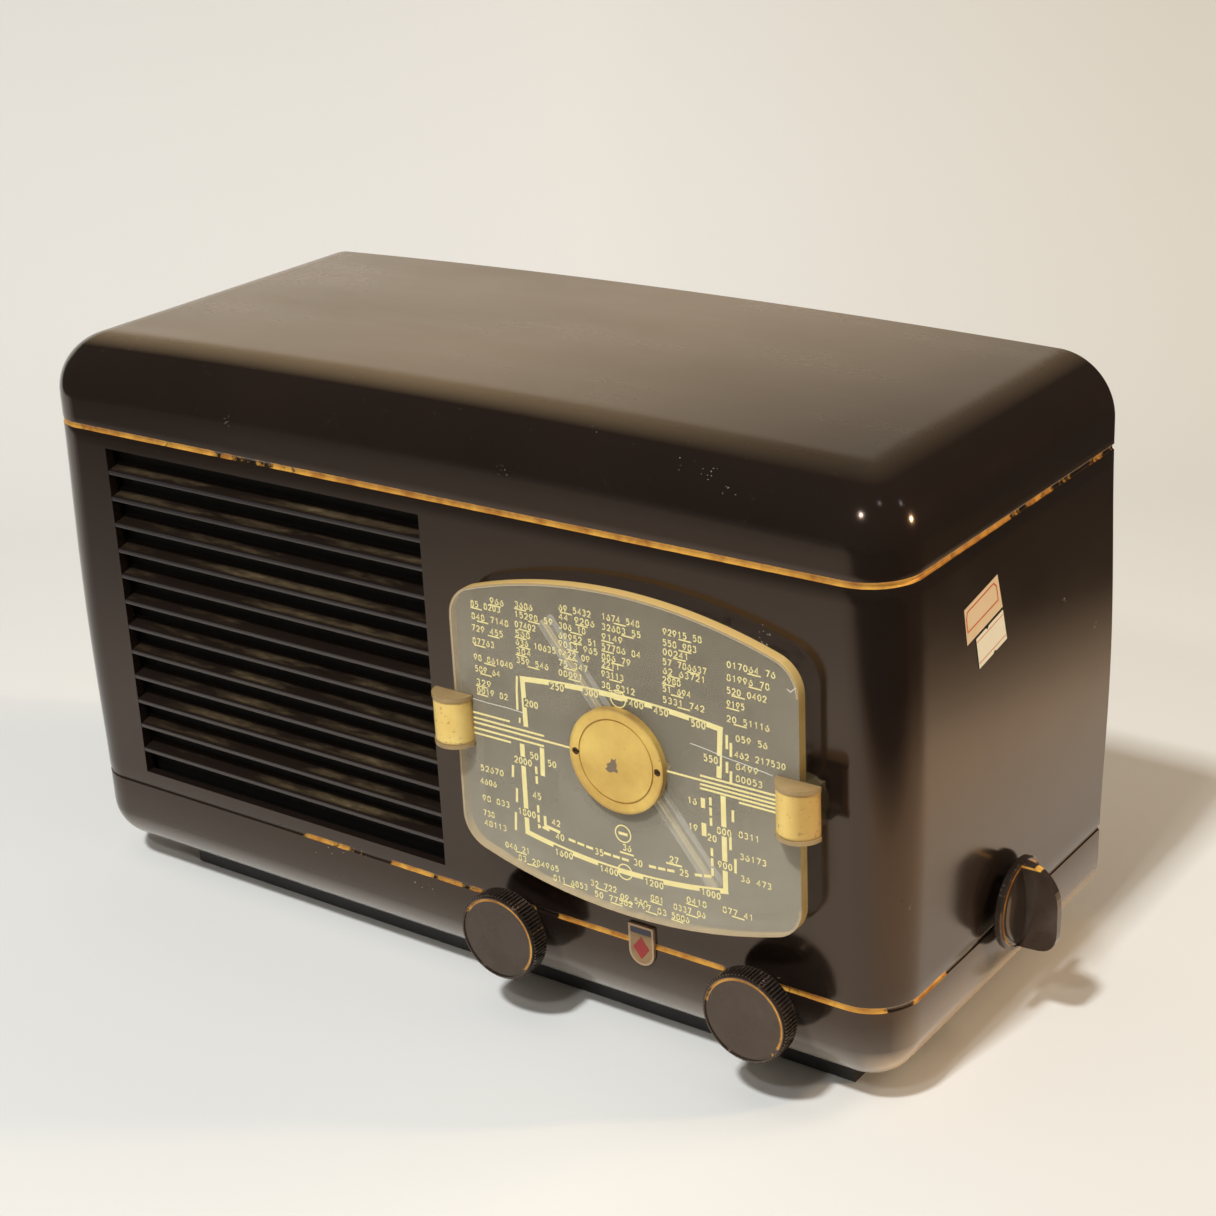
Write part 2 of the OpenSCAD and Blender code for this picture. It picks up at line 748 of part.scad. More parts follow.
module volume_control() {
  color("#77706a") along_y(volume_x, flange_y, knob_z) {
    difference() {
      union() {
        translate([0, 0, sheet]) cylinder(r = 14, h = 14.5);
        translate([0, 0, -5]) cylinder(r = 5, h = 10);
        translate([0, 0, -2.6]) cylinder(r = 8, h = 2.6, $fn = 6);
        for (k = [-1, 0, 1])
          translate([k*6 - 1.5, 12, sheet + 4]) cube([3, 9, 0.8]);
      }
      translate([0, 0, sheet + 2.2]) cylinder(r = 12.6, h = 10.6);
      translate([0, 0, -8]) cylinder(r = spindle_r + run, h = 16);
    }
    translate([0, 0, sheet + 14]) cylinder(r = 10, h = 8);
  }
}

// Side knob: round base with a ring line, a domed face and a fin like a beak.
module band_knob() {
  r = band_r;
  ring = r - 2;
  fin = [[-0.98, -0.04], [-0.99, 0.06], [-0.955, 0.27], [-0.885, 0.49], [-0.8, 0.63],
    [-0.7, 0.745], [-0.58, 0.845], [-0.465, 0.92], [-0.32, 0.975], [-0.15, 1], [0.17, 1],
    [0.465, 0.996], [0.605, 0.979], [0.72, 0.936], [0.814, 0.866], [0.884, 0.78],
    [0.93, 0.665], [0.955, 0.53], [0.97, 0.29], [0.98, 0.07], [0.98, -0.04]];
  color("#32261f") along_x(band_x, band_y, band_z) difference() {
    union() {
      rotate_extrude($fn = 96)
        polygon([[0, 0], [r - 0.5, 0], [r, 0.5], [r, band_t - 0.6], [r - 0.6, band_t],
          [ring + 0.7, band_t], [ring + 0.7, band_t - 0.4], [ring, band_t - 0.4],
          [ring, band_t], [0.9*ring, band_t + 0.1*dome_h], [0.8*ring, band_t + 0.3*dome_h],
          [0.6*ring, band_t + 0.64*dome_h], [0.4*ring, band_t + 0.84*dome_h],
          [0.2*ring, band_t + 0.96*dome_h], [0, band_t + dome_h]]);
      rotate([90, 0, 0]) translate([0, band_t, -fin_t/2]) linear_extrude(fin_t)
        polygon([for (p = fin) [p[0]*r, p[1]*fin_h]]);
      translate([0, 0, 0.4 - band_gap]) cylinder(r = 7, h = band_gap);
    }
    translate([0, 0, -band_gap])
      cylinder(r = spindle_r + 0.02, h = band_gap + band_t + dome_h/2);
  }
}

module band_spindle() {
  x1 = band_x + band_t + dome_h/2 - 0.4;
  x0 = chassis_x1 - 56;
  color("#8f9296") {
    along_x(x0, band_y, band_z) cylinder(r = spindle_r, h = x1 - x0);
    for (x = switch_x)
      along_x(x, band_y, band_z) difference() {
        cylinder(r = 8.6, h = 1.6);
        translate([5, -4, -1]) cube([6, 8, 4]);
      }
    along_x(chassis_x1 - 9, band_y, band_z) cylinder(r = 9, h = 1.6, $fn = 12);
  }
}

module band_switch() {
  color("#8a5a34") along_x(0, band_y, band_z) {
    for (x = switch_x)
      translate([0, 0, x]) difference() {
        cylinder(r = 17, h = 1.6);
        translate([0, 0, -1]) cylinder(r = 9, h = 4);
      }
    difference() {
      union() {
        translate([0, 0, chassis_x1 - 3.4]) cylinder(r = 17, h = 1.9);
        translate([0, 0, chassis_x1 - 3.4]) cylinder(r = 4.9, h = 10);
        translate([0, 0, chassis_x1]) cylinder(r = 8, h = 2.4, $fn = 6);
      }
      translate([0, 0, chassis_x1 - 12]) cylinder(r = spindle_r + run, h = 30);
    }
    for (s = [-1, 1])
      translate([0, s*13.5, chassis_x1 - 54]) cylinder(r = 1.5, h = 52);
  }
}

module chassis() {
  plan = [[notch_x, flange_y], [chassis_x1, flange_y], [chassis_x1, back_y],
    [chassis_x0, back_y], [chassis_x0, notch_y], [notch_x, notch_y]];
  s = sheet;
  inner = [[notch_x + s, flange_y + s], [chassis_x1 - s, flange_y + s],
    [chassis_x1 - s, back_y - s], [chassis_x0 + s, back_y - s],
    [chassis_x0 + s, notch_y + s], [notch_x + s, notch_y + s]];
  color("#a9aaa6") difference() {
    union() {
      difference() {
        translate([0, 0, skirt_z]) linear_extrude(deck_z - skirt_z) polygon(plan);
        translate([0, 0, skirt_z - 1]) linear_extrude(deck_z - skirt_z + 1 - s) polygon(inner);
      }
      for (x = bolt_x, y = bolt_y)
        translate([x < 0 ? chassis_x0 + 0.5 : x - 9, y - 9, skirt_z]) cube([20.5, 18, s]);
    }
    for (x = bolt_x, y = bolt_y)
      translate([x, y, skirt_z - 1]) cylinder(r = 2.2, h = 5);
    for (p = valve_spots())
      translate([p[0], p[1], deck_z - 5]) cylinder(r = 10.6, h = 10);
    translate([can_x, can_y, deck_z - 5]) cylinder(r = 6.2, h = 10);
    along_y(volume_x, flange_y - 1, knob_z) cylinder(r = 5.1, h = 4);
    along_y(tuning_x, flange_y - 1, knob_z) cylinder(r = 5.5, h = 4);
    along_x(chassis_x1 - 4, band_y, band_z) cylinder(r = 5, h = 8);
    translate([aerial_x - 22, back_y - 4, panel_z - 7]) cube([44, 8, 14]);
    translate([inlet_x - 14.2, back_y - 4, panel_z - 9.2]) cube([28.4, 8, 18.4]);
  }
}

module chassis_bolts() {
  color("#a8a8a0") for (x = bolt_x, y = bolt_y) {
    translate([x, y, z_low - 0.2]) cylinder(r = 2, h = skirt_z - z_low + 8);
    translate([x, y, z_low - 2.6]) cylinder(r = 4.2, h = 2.5);
    translate([x, y, skirt_z + sheet]) cylinder(r = 4, h = 3, $fn = 6);
  }
}

module mains_transformer() {
  color("#5f5a52") translate([mains_x, 34, deck_z]) {
    translate([-31, -17, 0]) cube([62, 34, 54]);
    translate([-22, -26, 8]) cube([44, 52, 38]);
    for (s = [-1, 1], z = [5, 49])
      along_y(s*26, -19.5, z) cylinder(r = 2.6, h = 39);
  }
}

module output_transformer() {
  color("#6a645a") translate([output_x, 46, deck_z]) {
    translate([-20, -9, 0]) cube([40, 18, 34]);
    translate([-13, -15, 6]) cube([26, 30, 22]);
  }
}

module smoothing_capacitor() {
  color("#b9bcbe") translate([can_x, can_y, deck_z]) {
    rotate_extrude()
      polygon([[0, 0], [16.5, 0], [16.5, 3], [15.5, 3.6], [15.5, 66], [14.5, 68], [0, 68]]);
    translate([0, 0, -9]) cylinder(r = 6, h = 9.5);
  }
}

module if_can(x, y) {
  color("#c0c2c4") translate([x, y, deck_z]) difference() {
    linear_extrude(60) polygon(rounded(25, 25, 3));
    translate([0, 0, 50]) cylinder(r = 3, h = 20);
  }
}

module first_if_can() {
  if_can(dial_x - 52, 0);
}

module second_if_can() {
  if_can(dial_x + 56, 22);
}

function valve_spots() = [
  [dial_x + 56, -26], [dial_x - 52, -32], [dial_x + 56, 54],
  [chassis_x0 + 176, 44], [chassis_x0 + 16, 40]
];

module valve(k, r, h) {
  p = valve_spots()[k];
  color("#d7dadc", 0.6) translate([p[0], p[1], deck_z]) {
    rotate_extrude()
      polygon([[0, 1.5], [10.2, 1.5], [10.4, 9], [r - 0.5, 13], [r, 17], [r, h - 14],
        [r*0.93, h - 8], [r*0.72, h - 3.4], [r*0.38, h - 1], [2.2, h], [1.4, h + 4], [0, h + 5]]);
    for (a = [0:45:315])
      rotate(a) translate([7.2, 0, -6]) cylinder(r = 0.8, h = 8);
  }
}

module mixer_valve() {
  valve(0, valve_r, valve_h);
}

module if_valve() {
  valve(1, valve_r, valve_h);
}

module audio_valve() {
  valve(2, valve_r, valve_h);
}

module output_valve() {
  valve(3, valve_r + 1, valve_h + 8);
}

module rectifier_valve() {
  valve(4, valve_r - 1, valve_h + 4);
}

module valve_sockets() {
  color("#3b3a38") for (p = valve_spots())
    translate([p[0], p[1], deck_z]) difference() {
      union() {
        cylinder(r = 13, h = socket_h);
        translate([0, 0, -8]) cylinder(r = 10.5, h = 10);
      }
      translate([0, 0, 1.3]) cylinder(r = 10.6, h = socket_h);
      for (a = [0:45:315])
        rotate(a) translate([7.2, 0, -7]) cylinder(r = 0.9, h = 9);
    }
}

module aerial_sockets() {
  color("#4a3528") difference() {
    union() {
      translate([aerial_x - 26, back_y, panel_z - 11]) cube([52, 2.5, 22]);
      for (s = [-1, 1])
        along_y(aerial_x + s*12, back_y - 10, panel_z) cylinder(r = 4, h = 12);
    }
    for (s = [-1, 1])
      along_y(aerial_x + s*12, back_y - 8.5, panel_z) cylinder(r = 2.05, h = 14);
  }
}

module mains_inlet() {
  color("#2e2a28") {
    difference() {
      union() {
        translate([inlet_x - 18, back_y, panel_z - 12]) cube([36, 2.5, 24]);
        translate([inlet_x - 14, back_y - 14, panel_z - 9]) cube([28, 16, 18]);
      }
      translate([inlet_x - 12, back_y - 12, panel_z - 7]) cube([24, 20, 14]);
    }
    for (s = [-1, 1])
      along_y(inlet_x + s*6.5, back_y - 13, panel_z) cylinder(r = 1.6, h = 12);
  }
}

module rear_cover() {
  w = 2*(half_w - wall - 0.9);
  h = z_high - crown - wall - 0.9 - (z_low + wall + 0.9);
  color("#7a5a3c") difference() {
    along_y(0, cover_y, z_low + wall + 0.9 + h/2) linear_extrude(cover_t)
      mirror([0, 1]) polygon(rounded(w, h, top_r - wall, 6, edge_r - wall));
    for (i = [-3:3], k = [0:4])
      translate([i*44 - 16, cover_y - 1, 130 + k*14]) cube([32, cover_t + 2, 4]);
    for (i = [-1:1], k = [0:1])
      translate([i*44 - 16, cover_y - 1, 34 + k*14]) cube([32, cover_t + 2, 4]);
    translate([aerial_x - 23, cover_y - 1, panel_z - 10]) cube([46, cover_t + 2, 20]);
    translate([inlet_x - 17, cover_y - 1, panel_z - 12]) cube([34, cover_t + 2, 24]);
    for (s = [-1, 1], z = lug_z)
      along_y(s*lug_x, cover_y - 1, z) cylinder(r = 1.8, h = cover_t + 2);
  }
}

module cover_screws() {
  color("#a8a8a0") for (s = [-1, 1], z = lug_z) {
    along_y(s*lug_x, cover_y - 9, z) cylinder(r = 1.45, h = cover_t + 9.5);
    along_y(s*lug_x, cover_y + cover_t, z) cylinder(r = 3.2, h = 1.8);
  }
}

placed() cabinet();
placed() front_runner();
placed() rear_runner();
placed() badge();
placed() grille_cloth();
placed() speaker_baffle();
placed() baffle_screws();
placed() speaker_frame();
placed() speaker_cone();
placed() speaker_magnet();
placed() speaker_bolts();
placed() dial_plate();
placed() dial_disc();
placed() disc_screws();
placed() left_holder();
placed() right_holder();
placed() left_holder_cover();
placed() right_holder_cover();
placed() holder_nuts();
placed() lamp_shells();
placed() left_lamp();
placed() right_lamp();
placed() pointer();
placed() pointer_shaft();
placed() pointer_bush();
placed() drive_drum();
placed() drive_cord();
placed() capacitor_frame();
placed() capacitor_stator();
placed() capacitor_rotor();
placed() capacitor_bracket();
placed() tuning_knob();
placed() tuning_spindle();
placed() tuning_bush();
placed() volume_knob();
placed() volume_spindle();
placed() volume_control();
placed() band_knob();
placed() band_spindle();
placed() band_switch();
placed() chassis();
placed() chassis_bolts();
placed() mains_transformer();
placed() output_transformer();
placed() smoothing_capacitor();
placed() first_if_can();
placed() second_if_can();
placed() mixer_valve();
placed() if_valve();
placed() audio_valve();
placed() output_valve();
placed() rectifier_valve();
placed() valve_sockets();
placed() aerial_sockets();
placed() mains_inlet();
placed() rear_cover();
placed() cover_screws();
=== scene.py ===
"""Looks of the table tube radio: smooth cabinet, finishes, dial print, labels, paint lines and studio."""
import math
import bmesh
import bpy
import numpy as np
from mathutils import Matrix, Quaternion, Vector


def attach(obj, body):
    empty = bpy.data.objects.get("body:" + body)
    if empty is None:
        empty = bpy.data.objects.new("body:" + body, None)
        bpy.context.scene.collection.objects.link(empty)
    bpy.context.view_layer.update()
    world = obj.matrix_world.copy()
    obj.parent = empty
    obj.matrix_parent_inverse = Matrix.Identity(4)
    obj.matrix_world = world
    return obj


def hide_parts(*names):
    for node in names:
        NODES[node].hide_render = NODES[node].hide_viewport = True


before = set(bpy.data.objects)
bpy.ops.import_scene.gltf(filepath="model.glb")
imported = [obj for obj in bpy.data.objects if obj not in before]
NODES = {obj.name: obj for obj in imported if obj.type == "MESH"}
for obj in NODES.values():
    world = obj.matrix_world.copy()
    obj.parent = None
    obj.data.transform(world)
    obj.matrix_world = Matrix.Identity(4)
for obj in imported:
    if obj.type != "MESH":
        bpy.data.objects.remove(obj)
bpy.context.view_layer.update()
scene = bpy.context.scene
rng = np.random.default_rng(7)

# Sizes in millimetres, measured from the middle of the cabinet's footprint, as in the part's source.
ORIGIN = np.array((9.3, -8.6, 0.0))
HALF, BULGE, CROWN = 190.5, 2.0, 2.7
ROUND, TOP_ROUND, WALL = 18.5, 23.0, 4.0
FRONT, REAR = -80.75, 80.75
LOW, HIGH = 27.5, 205.0
GROOVES = (41.7, 194.6)
HOLE = (-157.0, 0.5, 47.9, 187.5)
DIAL_X, DIAL_Z = 90.0, 117.7
DIAL_W, DIAL_H, LONG_R, CORNER_R = 142.2, 121.2, 200.0, 13.0
PLATE_FRONT, PLATE_BACK = -89.55, -85.55
DISC_FRONT = -92.05
BADGE_Z = 41.1
KNOB_Z, KNOB_FACE, TUNING_X, VOLUME_X = 36.3, -97.95, 142.5, 37.5
BAND_FACE, BAND_Y, BAND_Z = 197.1, 1.75, 48.7


def placed(points):
    """Millimetres from the cabinet's middle into metres from the part's origin."""
    return (np.asarray(points, float) - ORIGIN) / 1000


def tone(r, g, b):
    """Linear colour of one that is given in 8 bit screen values."""
    return tuple(((c / 255 + 0.055) / 1.055) ** 2.4 if c > 10 else c / 3294.6 for c in (r, g, b))


# Node tree helpers
class Tree:
    """Short forms for building one material's node tree."""

    def __init__(self, name):
        self.material = bpy.data.materials.new(name)
        self.material.use_nodes = True
        self.tree = self.material.node_tree
        self.shader = self.tree.nodes["Principled BSDF"]
        self.place = None
        self.facing = None

    def add(self, kind, **settings):
        node = self.tree.nodes.new(kind)
        for key, value in settings.items():
            setattr(node, key, value)
        return node

    def put(self, value, socket):
        """Links an output to a socket, or sets the socket's own value."""
        if isinstance(value, bpy.types.NodeSocket):
            self.tree.links.new(value, socket)
        elif hasattr(value, "__len__") and len(value) == 3 and len(socket.default_value) == 4:
            socket.default_value = (*value, 1)
        else:
            socket.default_value = value

    def where(self):
        if self.place is None:
            self.place = self.add("ShaderNodeTexCoord").outputs["Object"]
        return self.place

    def axis(self, name, middle=0.0):
        """Millimetres along X, Y or Z from the cabinet's middle, or from a place on that axis."""
        node = self.add("ShaderNodeSeparateXYZ")
        self.put(self.where(), node.inputs[0])
        shift = float(ORIGIN["XYZ".index(name)]) - middle
        return self.math("MULTIPLY_ADD", node.outputs[name], 1000.0, shift)

    def slant(self, u, u_share, v, v_share):
        """Sum of two lengths, each times its share."""
        return self.math("MULTIPLY_ADD", u, u_share, self.both(v, v_share))

    def normal(self, name):
        if self.facing is None:
            self.facing = self.add("ShaderNodeSeparateXYZ")
            self.put(self.add("ShaderNodeNewGeometry").outputs["Normal"], self.facing.inputs[0])
        return self.facing.outputs[name]

    def math(self, operation, *values):
        node = self.add("ShaderNodeMath", operation=operation)
        for value, socket in zip(values, node.inputs):
            self.put(value, socket)
        return node.outputs[0]

    def both(self, a, *others):
        """The product of all."""
        for b in others:
            a = self.math("MULTIPLY", a, b)
        return a

    def radius(self, u, v, centre):
        """Distance from a centre in the plane of two axes: the root of the sum of both squares."""
        du, dv = self.axis(u, centre[0]), self.axis(v, centre[1])
        return self.math("SQRT", self.math("ADD", self.both(du, du), self.both(dv, dv)))

    def span(self, value, low, high, to_low=0.0, to_high=1.0, smooth=False):
        """A value carried from one range into another, and held there past its ends."""
        node = self.add("ShaderNodeMapRange", interpolation_type="SMOOTHSTEP" if smooth else "LINEAR")
        for v, key in zip((value, low, high, to_low, to_high),
                          ("Value", "From Min", "From Max", "To Min", "To Max")):
            self.put(v, node.inputs[key])
        return node.outputs[0]

    def ring(self, distance, low, high, soft=0.1):
        """One between two distances and nothing outside them."""
        return self.both(self.span(distance, low - soft, low + soft),
                         self.span(distance, high - soft, high + soft, 1.0, 0.0))

    def noise(self, scale, detail=4, rough=0.55, stretch=(1, 1, 1), seed=0.0):
        node, mapping = self.add("ShaderNodeTexNoise"), self.add("ShaderNodeMapping")
        for key, value in (("Scale", scale), ("Detail", detail), ("Roughness", rough)):
            node.inputs[key].default_value = value
        mapping.inputs["Scale"].default_value = stretch
        mapping.inputs["Location"].default_value = (seed, seed * 0.7, seed * 1.3)
        self.put(self.where(), mapping.inputs["Vector"])
        self.put(mapping.outputs[0], node.inputs["Vector"])
        return node.outputs[0]

    def patches(self, low, high, *grain, **more):
        """Soft patches: nothing where the noise is under low, all where it is over high."""
        return self.span(self.noise(*grain, **more), low, high)

    def blend(self, factor, a, b, kind="FLOAT", first=2, out=0):
        node = self.add("ShaderNodeMix", data_type=kind)
        for value, socket in zip((factor, a, b), (0, first, first + 1)):
            self.put(value, node.inputs[socket])
        return node.outputs[out]

    def mix(self, factor, a, b):
        """The same for two colours, which have sockets of their own."""
        return self.blend(factor, a, b, "RGBA", 6, 2)

    def lay(self, base, color, *amounts):
        """A colour laid over a base, by the product of the amounts."""
        return self.mix(self.both(*amounts), base, color)

    def paint(self):
        """The value that the piece's own mesh carries."""
        return self.add("ShaderNodeAttribute", attribute_name="paint").outputs["Fac"]

    def bump(self, height, strength):
        node = self.add("ShaderNodeBump")
        node.inputs["Strength"].default_value = strength
        node.inputs["Distance"].default_value = 0.0002
        self.put(height, node.inputs["Height"])
        self.put(node.outputs[0], self.shader.inputs["Normal"])

    def set(self, **values):
        for key, value in values.items():
            self.put(value, self.shader.inputs[key.replace("_", " ")])
        return self.material


# Mesh helpers
class Skin:
    """Collects grids and loose faces, merges their shared edges and makes one piece of them."""

    def __init__(self):
        self.points, self.faces, self.looks, self.values = [], [], [], []
        self.count = 0

    def loose(self, points, faces, look=0, values=None):
        """Adds points and the faces between them, which count from the first of these points."""
        self.points.append(points)
        self.values.append(np.zeros(len(points)) if values is None else values)
        self.faces += [[self.count + i for i in face] for face in faces]
        self.looks += [look] * len(faces)
        self.count += len(points)

    def grid(self, p, flip=False, look=0, keep=None, value=None):
        """p has shape (rows, columns, 3); a cell faces (column direction) x (row direction)."""
        rows, columns = p.shape[:2]
        index = np.arange(rows * columns).reshape(rows, columns)
        quads = np.stack([index[:-1, :-1], index[:-1, 1:], index[1:, 1:], index[1:, :-1]], -1)
        if flip:
            quads = quads[..., ::-1]
        quads = quads[keep] if keep is not None else quads.reshape(-1, 4)
        self.loose(p.reshape(-1, 3), quads.tolist(), look, None if value is None else value.reshape(-1))

    def strip(self, a, b, look=0):
        """Faces between two lines of points, facing (along a) x (from a to b)."""
        self.grid(np.stack([a, b]), look=look)

    def prism(self, outline, axis, start, end, look=0):
        """A closed outline in a plane, carried from start to end along axis 0, 1 or 2."""
        n = len(outline)
        ends = [np.insert(np.asarray(outline, float), axis, v, axis=1) for v in (start, end)]
        faces = [[i, (i + 1) % n, n + (i + 1) % n, n + i] for i in range(n)]
        faces += [list(range(n))[::-1], list(range(n, 2 * n))]
        if axis == 1:
            faces = [face[::-1] for face in faces]
        self.loose(np.concatenate(ends), faces, look)

    def make(self, name, looks, body, slot, smooth=35, merge=True, hides=(), thick=0.0):
        mesh = bpy.data.meshes.new(name)
        mesh.from_pydata(placed(np.concatenate(self.points)).tolist(), [], self.faces)
        for look in looks:
            mesh.materials.append(look)
        mesh.polygons.foreach_set("material_index", self.looks)
        paint = mesh.attributes.new("paint", "FLOAT", "POINT")
        paint.data.foreach_set("value", np.concatenate(self.values).astype(np.float32))
        if merge:
            work = bmesh.new()
            work.from_mesh(mesh)
            bmesh.ops.remove_doubles(work, verts=work.verts, dist=2e-6)
            work.to_mesh(mesh)
            work.free()
        made = bpy.data.objects.new(name, mesh)
        scene.collection.objects.link(made)
        if thick:
            mesh.shade_flat()
            solid = made.modifiers.new("thickness", "SOLIDIFY")
            solid.thickness = thick / 1000
            solid.offset = -1
        else:
            mesh.shade_smooth()
            mesh.set_sharp_from_angle(angle=math.radians(smooth))
        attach(made, body)
        if hides:
            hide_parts(*hides)
        return made


def arc(x, z, rx, rz, start, end, n=10):
    t = np.radians(np.linspace(start, end, n))
    return np.stack([x + rx * np.cos(t), z + rz * np.sin(t)], -1)


def ribbon(line, width):
    """The two sides of a flat band along a line: half the width along the mitre at each point."""
    p = np.asarray(line, float)
    d = np.diff(p, axis=0)
    d /= np.linalg.norm(d, axis=1)[:, None]
    n = np.stack([-d[:, 1], d[:, 0]], -1)
    m = np.concatenate([n[:1], n[:-1] + n[1:], n[-1:]])
    m /= np.linalg.norm(m, axis=1)[:, None]
    cosine = np.clip(np.sum(m * np.concatenate([n[:1], n]), axis=1), 0.6, 1)
    side = m * (width / 2 / cosine)[:, None]
    return p + side, p - side


# Moulded cabinet
SLOPE = 2 * CROWN / (HALF - TOP_ROUND) ** 2
TILT = math.atan(SLOPE * (HALF - TOP_ROUND))
# Steps of the skin: along a side, round a corner, across the front left of the grille opening,
# over it and right of it, up the opening, and over the lower and the upper rounding.
SIDE_STEPS, CORNER_STEPS = 48, 16
LEFT_STEPS, HOLE_STEPS, RIGHT_STEPS = 21, 100, 110
HOLE_ROWS, LOW_STEPS, TOP_STEPS = 26, 12, 16
# A groove's profile: height from its middle, depth. The paint fills it to PAINTED on each side.
GROOVE = ((-1.25, 0), (-1.0, 0.06), (-0.8, 0.5), (-0.4, 0.7), (0, 0.72), (0.4, 0.7), (0.8, 0.5),
          (1.0, 0.06), (1.25, 0))
PAINTED = 1.01
SLATS, SLAT_DEPTH, LIP, LIP_ROUND = 12, 7, 1.7, 0.3
TINY = 0.01
# Worn stretches of the paint in each groove: from, to (along the groove from the rear left), how much.
WORN = (
    ((0, 262, 0.98), (262, 272, 0.75), (272, 296, 0.42), (296, 318, 0.66), (318, 341, 0.38),
     (341, 368, 0.45), (386, 397, 0.92), (466, 478, 0.55), (490, 506, 0.4), (529, 541, 0.93),
     (541, 566, 0.3), (566, 700, 0.98)),
    ((0, 245, 0.3), (245, 289, 0.52), (289, 514, 0.06), (514, 560, 0.12), (560, 604, 0.3),
     (604, 640, 0.5), (640, 700, 0.62)),
)
# Waves in how much paint is left: millimetres for one radian, and phase.
RIPPLES = ((2.1, 0.3), (3.7, 1.9), (6.9, 4.0), (1.3, 2.2))


def columns(reach):
    """Positions of the front columns: even on each side of the grille opening and across it."""
    left = np.linspace(-reach, HOLE[0], LEFT_STEPS + 1)[:-1]
    middle = np.linspace(HOLE[0], HOLE[1], HOLE_STEPS + 1)[:-1]
    return np.concatenate([left, middle, np.linspace(HOLE[1], reach, RIGHT_STEPS + 1)])


def crowned(x, r, spread):
    """Height of the crowned top at x: a parabola's own height plus r along its normal. With spread 1
    the foot of that normal is x over 1 + r times SLOPE, and with spread 0 it is x."""
    core = np.clip(x / (1 + r * SLOPE * spread), TOP_ROUND - HALF, HALF - TOP_ROUND)
    q = 1 - (core / (HALF - TOP_ROUND)) ** 2
    return HIGH + CROWN * q + r / np.sqrt(1 + (SLOPE * core) ** 2)


def level(side, front, corner, heights):
    """One level all round: rear left, front left corner, front, front right corner, rear right."""
    reach = side - corner
    turn = front + corner
    a = np.radians(np.linspace(0, 90, CORNER_STEPS + 1))
    y = np.linspace(REAR, turn, SIDE_STEPS + 1)
    x = columns(reach)
    front_z, side_z = heights(x)
    left = np.stack([-side + 0 * y, y, side_z + 0 * y], -1)
    mix = side_z + (front_z[0] - side_z) * np.linspace(0, 1, CORNER_STEPS + 1)
    bend = np.stack([-reach - corner * np.cos(a), turn - corner * np.sin(a), mix], -1)
    flat = np.stack([x, front + 0 * x, front_z], -1)
    whole = np.concatenate([left, bend[1:], flat[1:]])
    mirror = whole[:SIDE_STEPS + CORNER_STEPS][::-1] * (-1, 1, 1)
    return np.concatenate([whole, mirror])


def straight_levels():
    """Heights of the levels between the rounded edges, each with its depth in a groove."""
    rows = [(LOW, 0), (33, 0)]
    rows += [(GROOVES[0] + h, d) for h, d in GROOVE]
    rows += [(z, 0) for z in np.linspace(HOLE[2], HOLE[3], HOLE_ROWS + 1)]
    rows += [(GROOVES[1] + h, d) for h, d in GROOVE]
    return rows + [(z, 0) for z in (198, 201.5, HIGH)]


def swelled(z):
    """How much a side swells out at a height: the square of a cosine, most at half height."""
    return BULGE * np.cos(np.pi * (np.asarray(z) - (LOW + HIGH) / 2) / (HIGH - LOW)) ** 2


def shell(inset):
    """The moulding's outer skin, or its inner one with a wall's inset, from below to the top."""
    rows, r, top = [], ROUND - inset, TOP_ROUND - inset
    for a in np.radians(np.linspace(90, 0, LOW_STEPS + 1))[:-1]:
        side = HALF - ROUND + r * math.cos(a)
        z = LOW - r * math.sin(a)
        rows.append(level(side, FRONT + ROUND - r * math.cos(a), r * math.cos(a),
                          lambda x, z=z: (z + 0 * x, z)))
    start = GROOVES[1] + 1.2
    for z, deep in straight_levels():
        deep = deep if inset == 0 else 0
        above = max(0.0, (z - start) / (HIGH - start))
        rows.append(level(
            HALF + swelled(z) - inset - deep, FRONT + inset + deep, r - deep,
            lambda x, z=z, t=above: (z + t * (crowned(x, 0, 0) - HIGH), z)))
    for a in np.radians(np.linspace(0, 90, TOP_STEPS + 1))[1:]:
        tilt = a * (math.pi / 2 - TILT) / (math.pi / 2)
        side = HALF - TOP_ROUND + top * math.cos(tilt)
        rows.append(level(
            side, FRONT + TOP_ROUND - top * math.cos(a), r * math.cos(a),
            lambda x, a=a, t=tilt: (crowned(x, top * math.sin(a), 1), HIGH + top * math.sin(t))))
    return np.stack(rows)


def lid(wall, row):
    """Flat part above or below: every front column is carried back to the rear edge."""
    line = wall[row]
    first, last = SIDE_STEPS + CORNER_STEPS, line.shape[0] - SIDE_STEPS - CORNER_STEPS
    y = line[:SIDE_STEPS + 1, 1][::-1]
    grid = np.repeat(line[first:last][None], len(y), axis=0)
    grid[:, :, 1] = y[:, None]
    return grid


def slats(skin):
    """Sloping slats across the opening: a rounded lip in front, the back higher than the front."""
    pitch = (HOLE[3] - HOLE[2] + LIP) / (SLATS + 1)
    r = LIP_ROUND
    lip = np.concatenate([arc(r, LIP - r, r, r, 90, 180, 5), arc(r, r, r, r, 180, 270, 5)])
    for i in range(1, SLATS + 1):
        low = HOLE[2] + i * pitch - LIP
        outline = [(FRONT + 0.1 + y, low + h) for y, h in lip]
        outline += [(FRONT + SLAT_DEPTH, low + 1.6), (FRONT + SLAT_DEPTH, low + 3.2)]
        skin.prism(outline, 0, HOLE[0] - 1, HOLE[1] + 1, look=1)


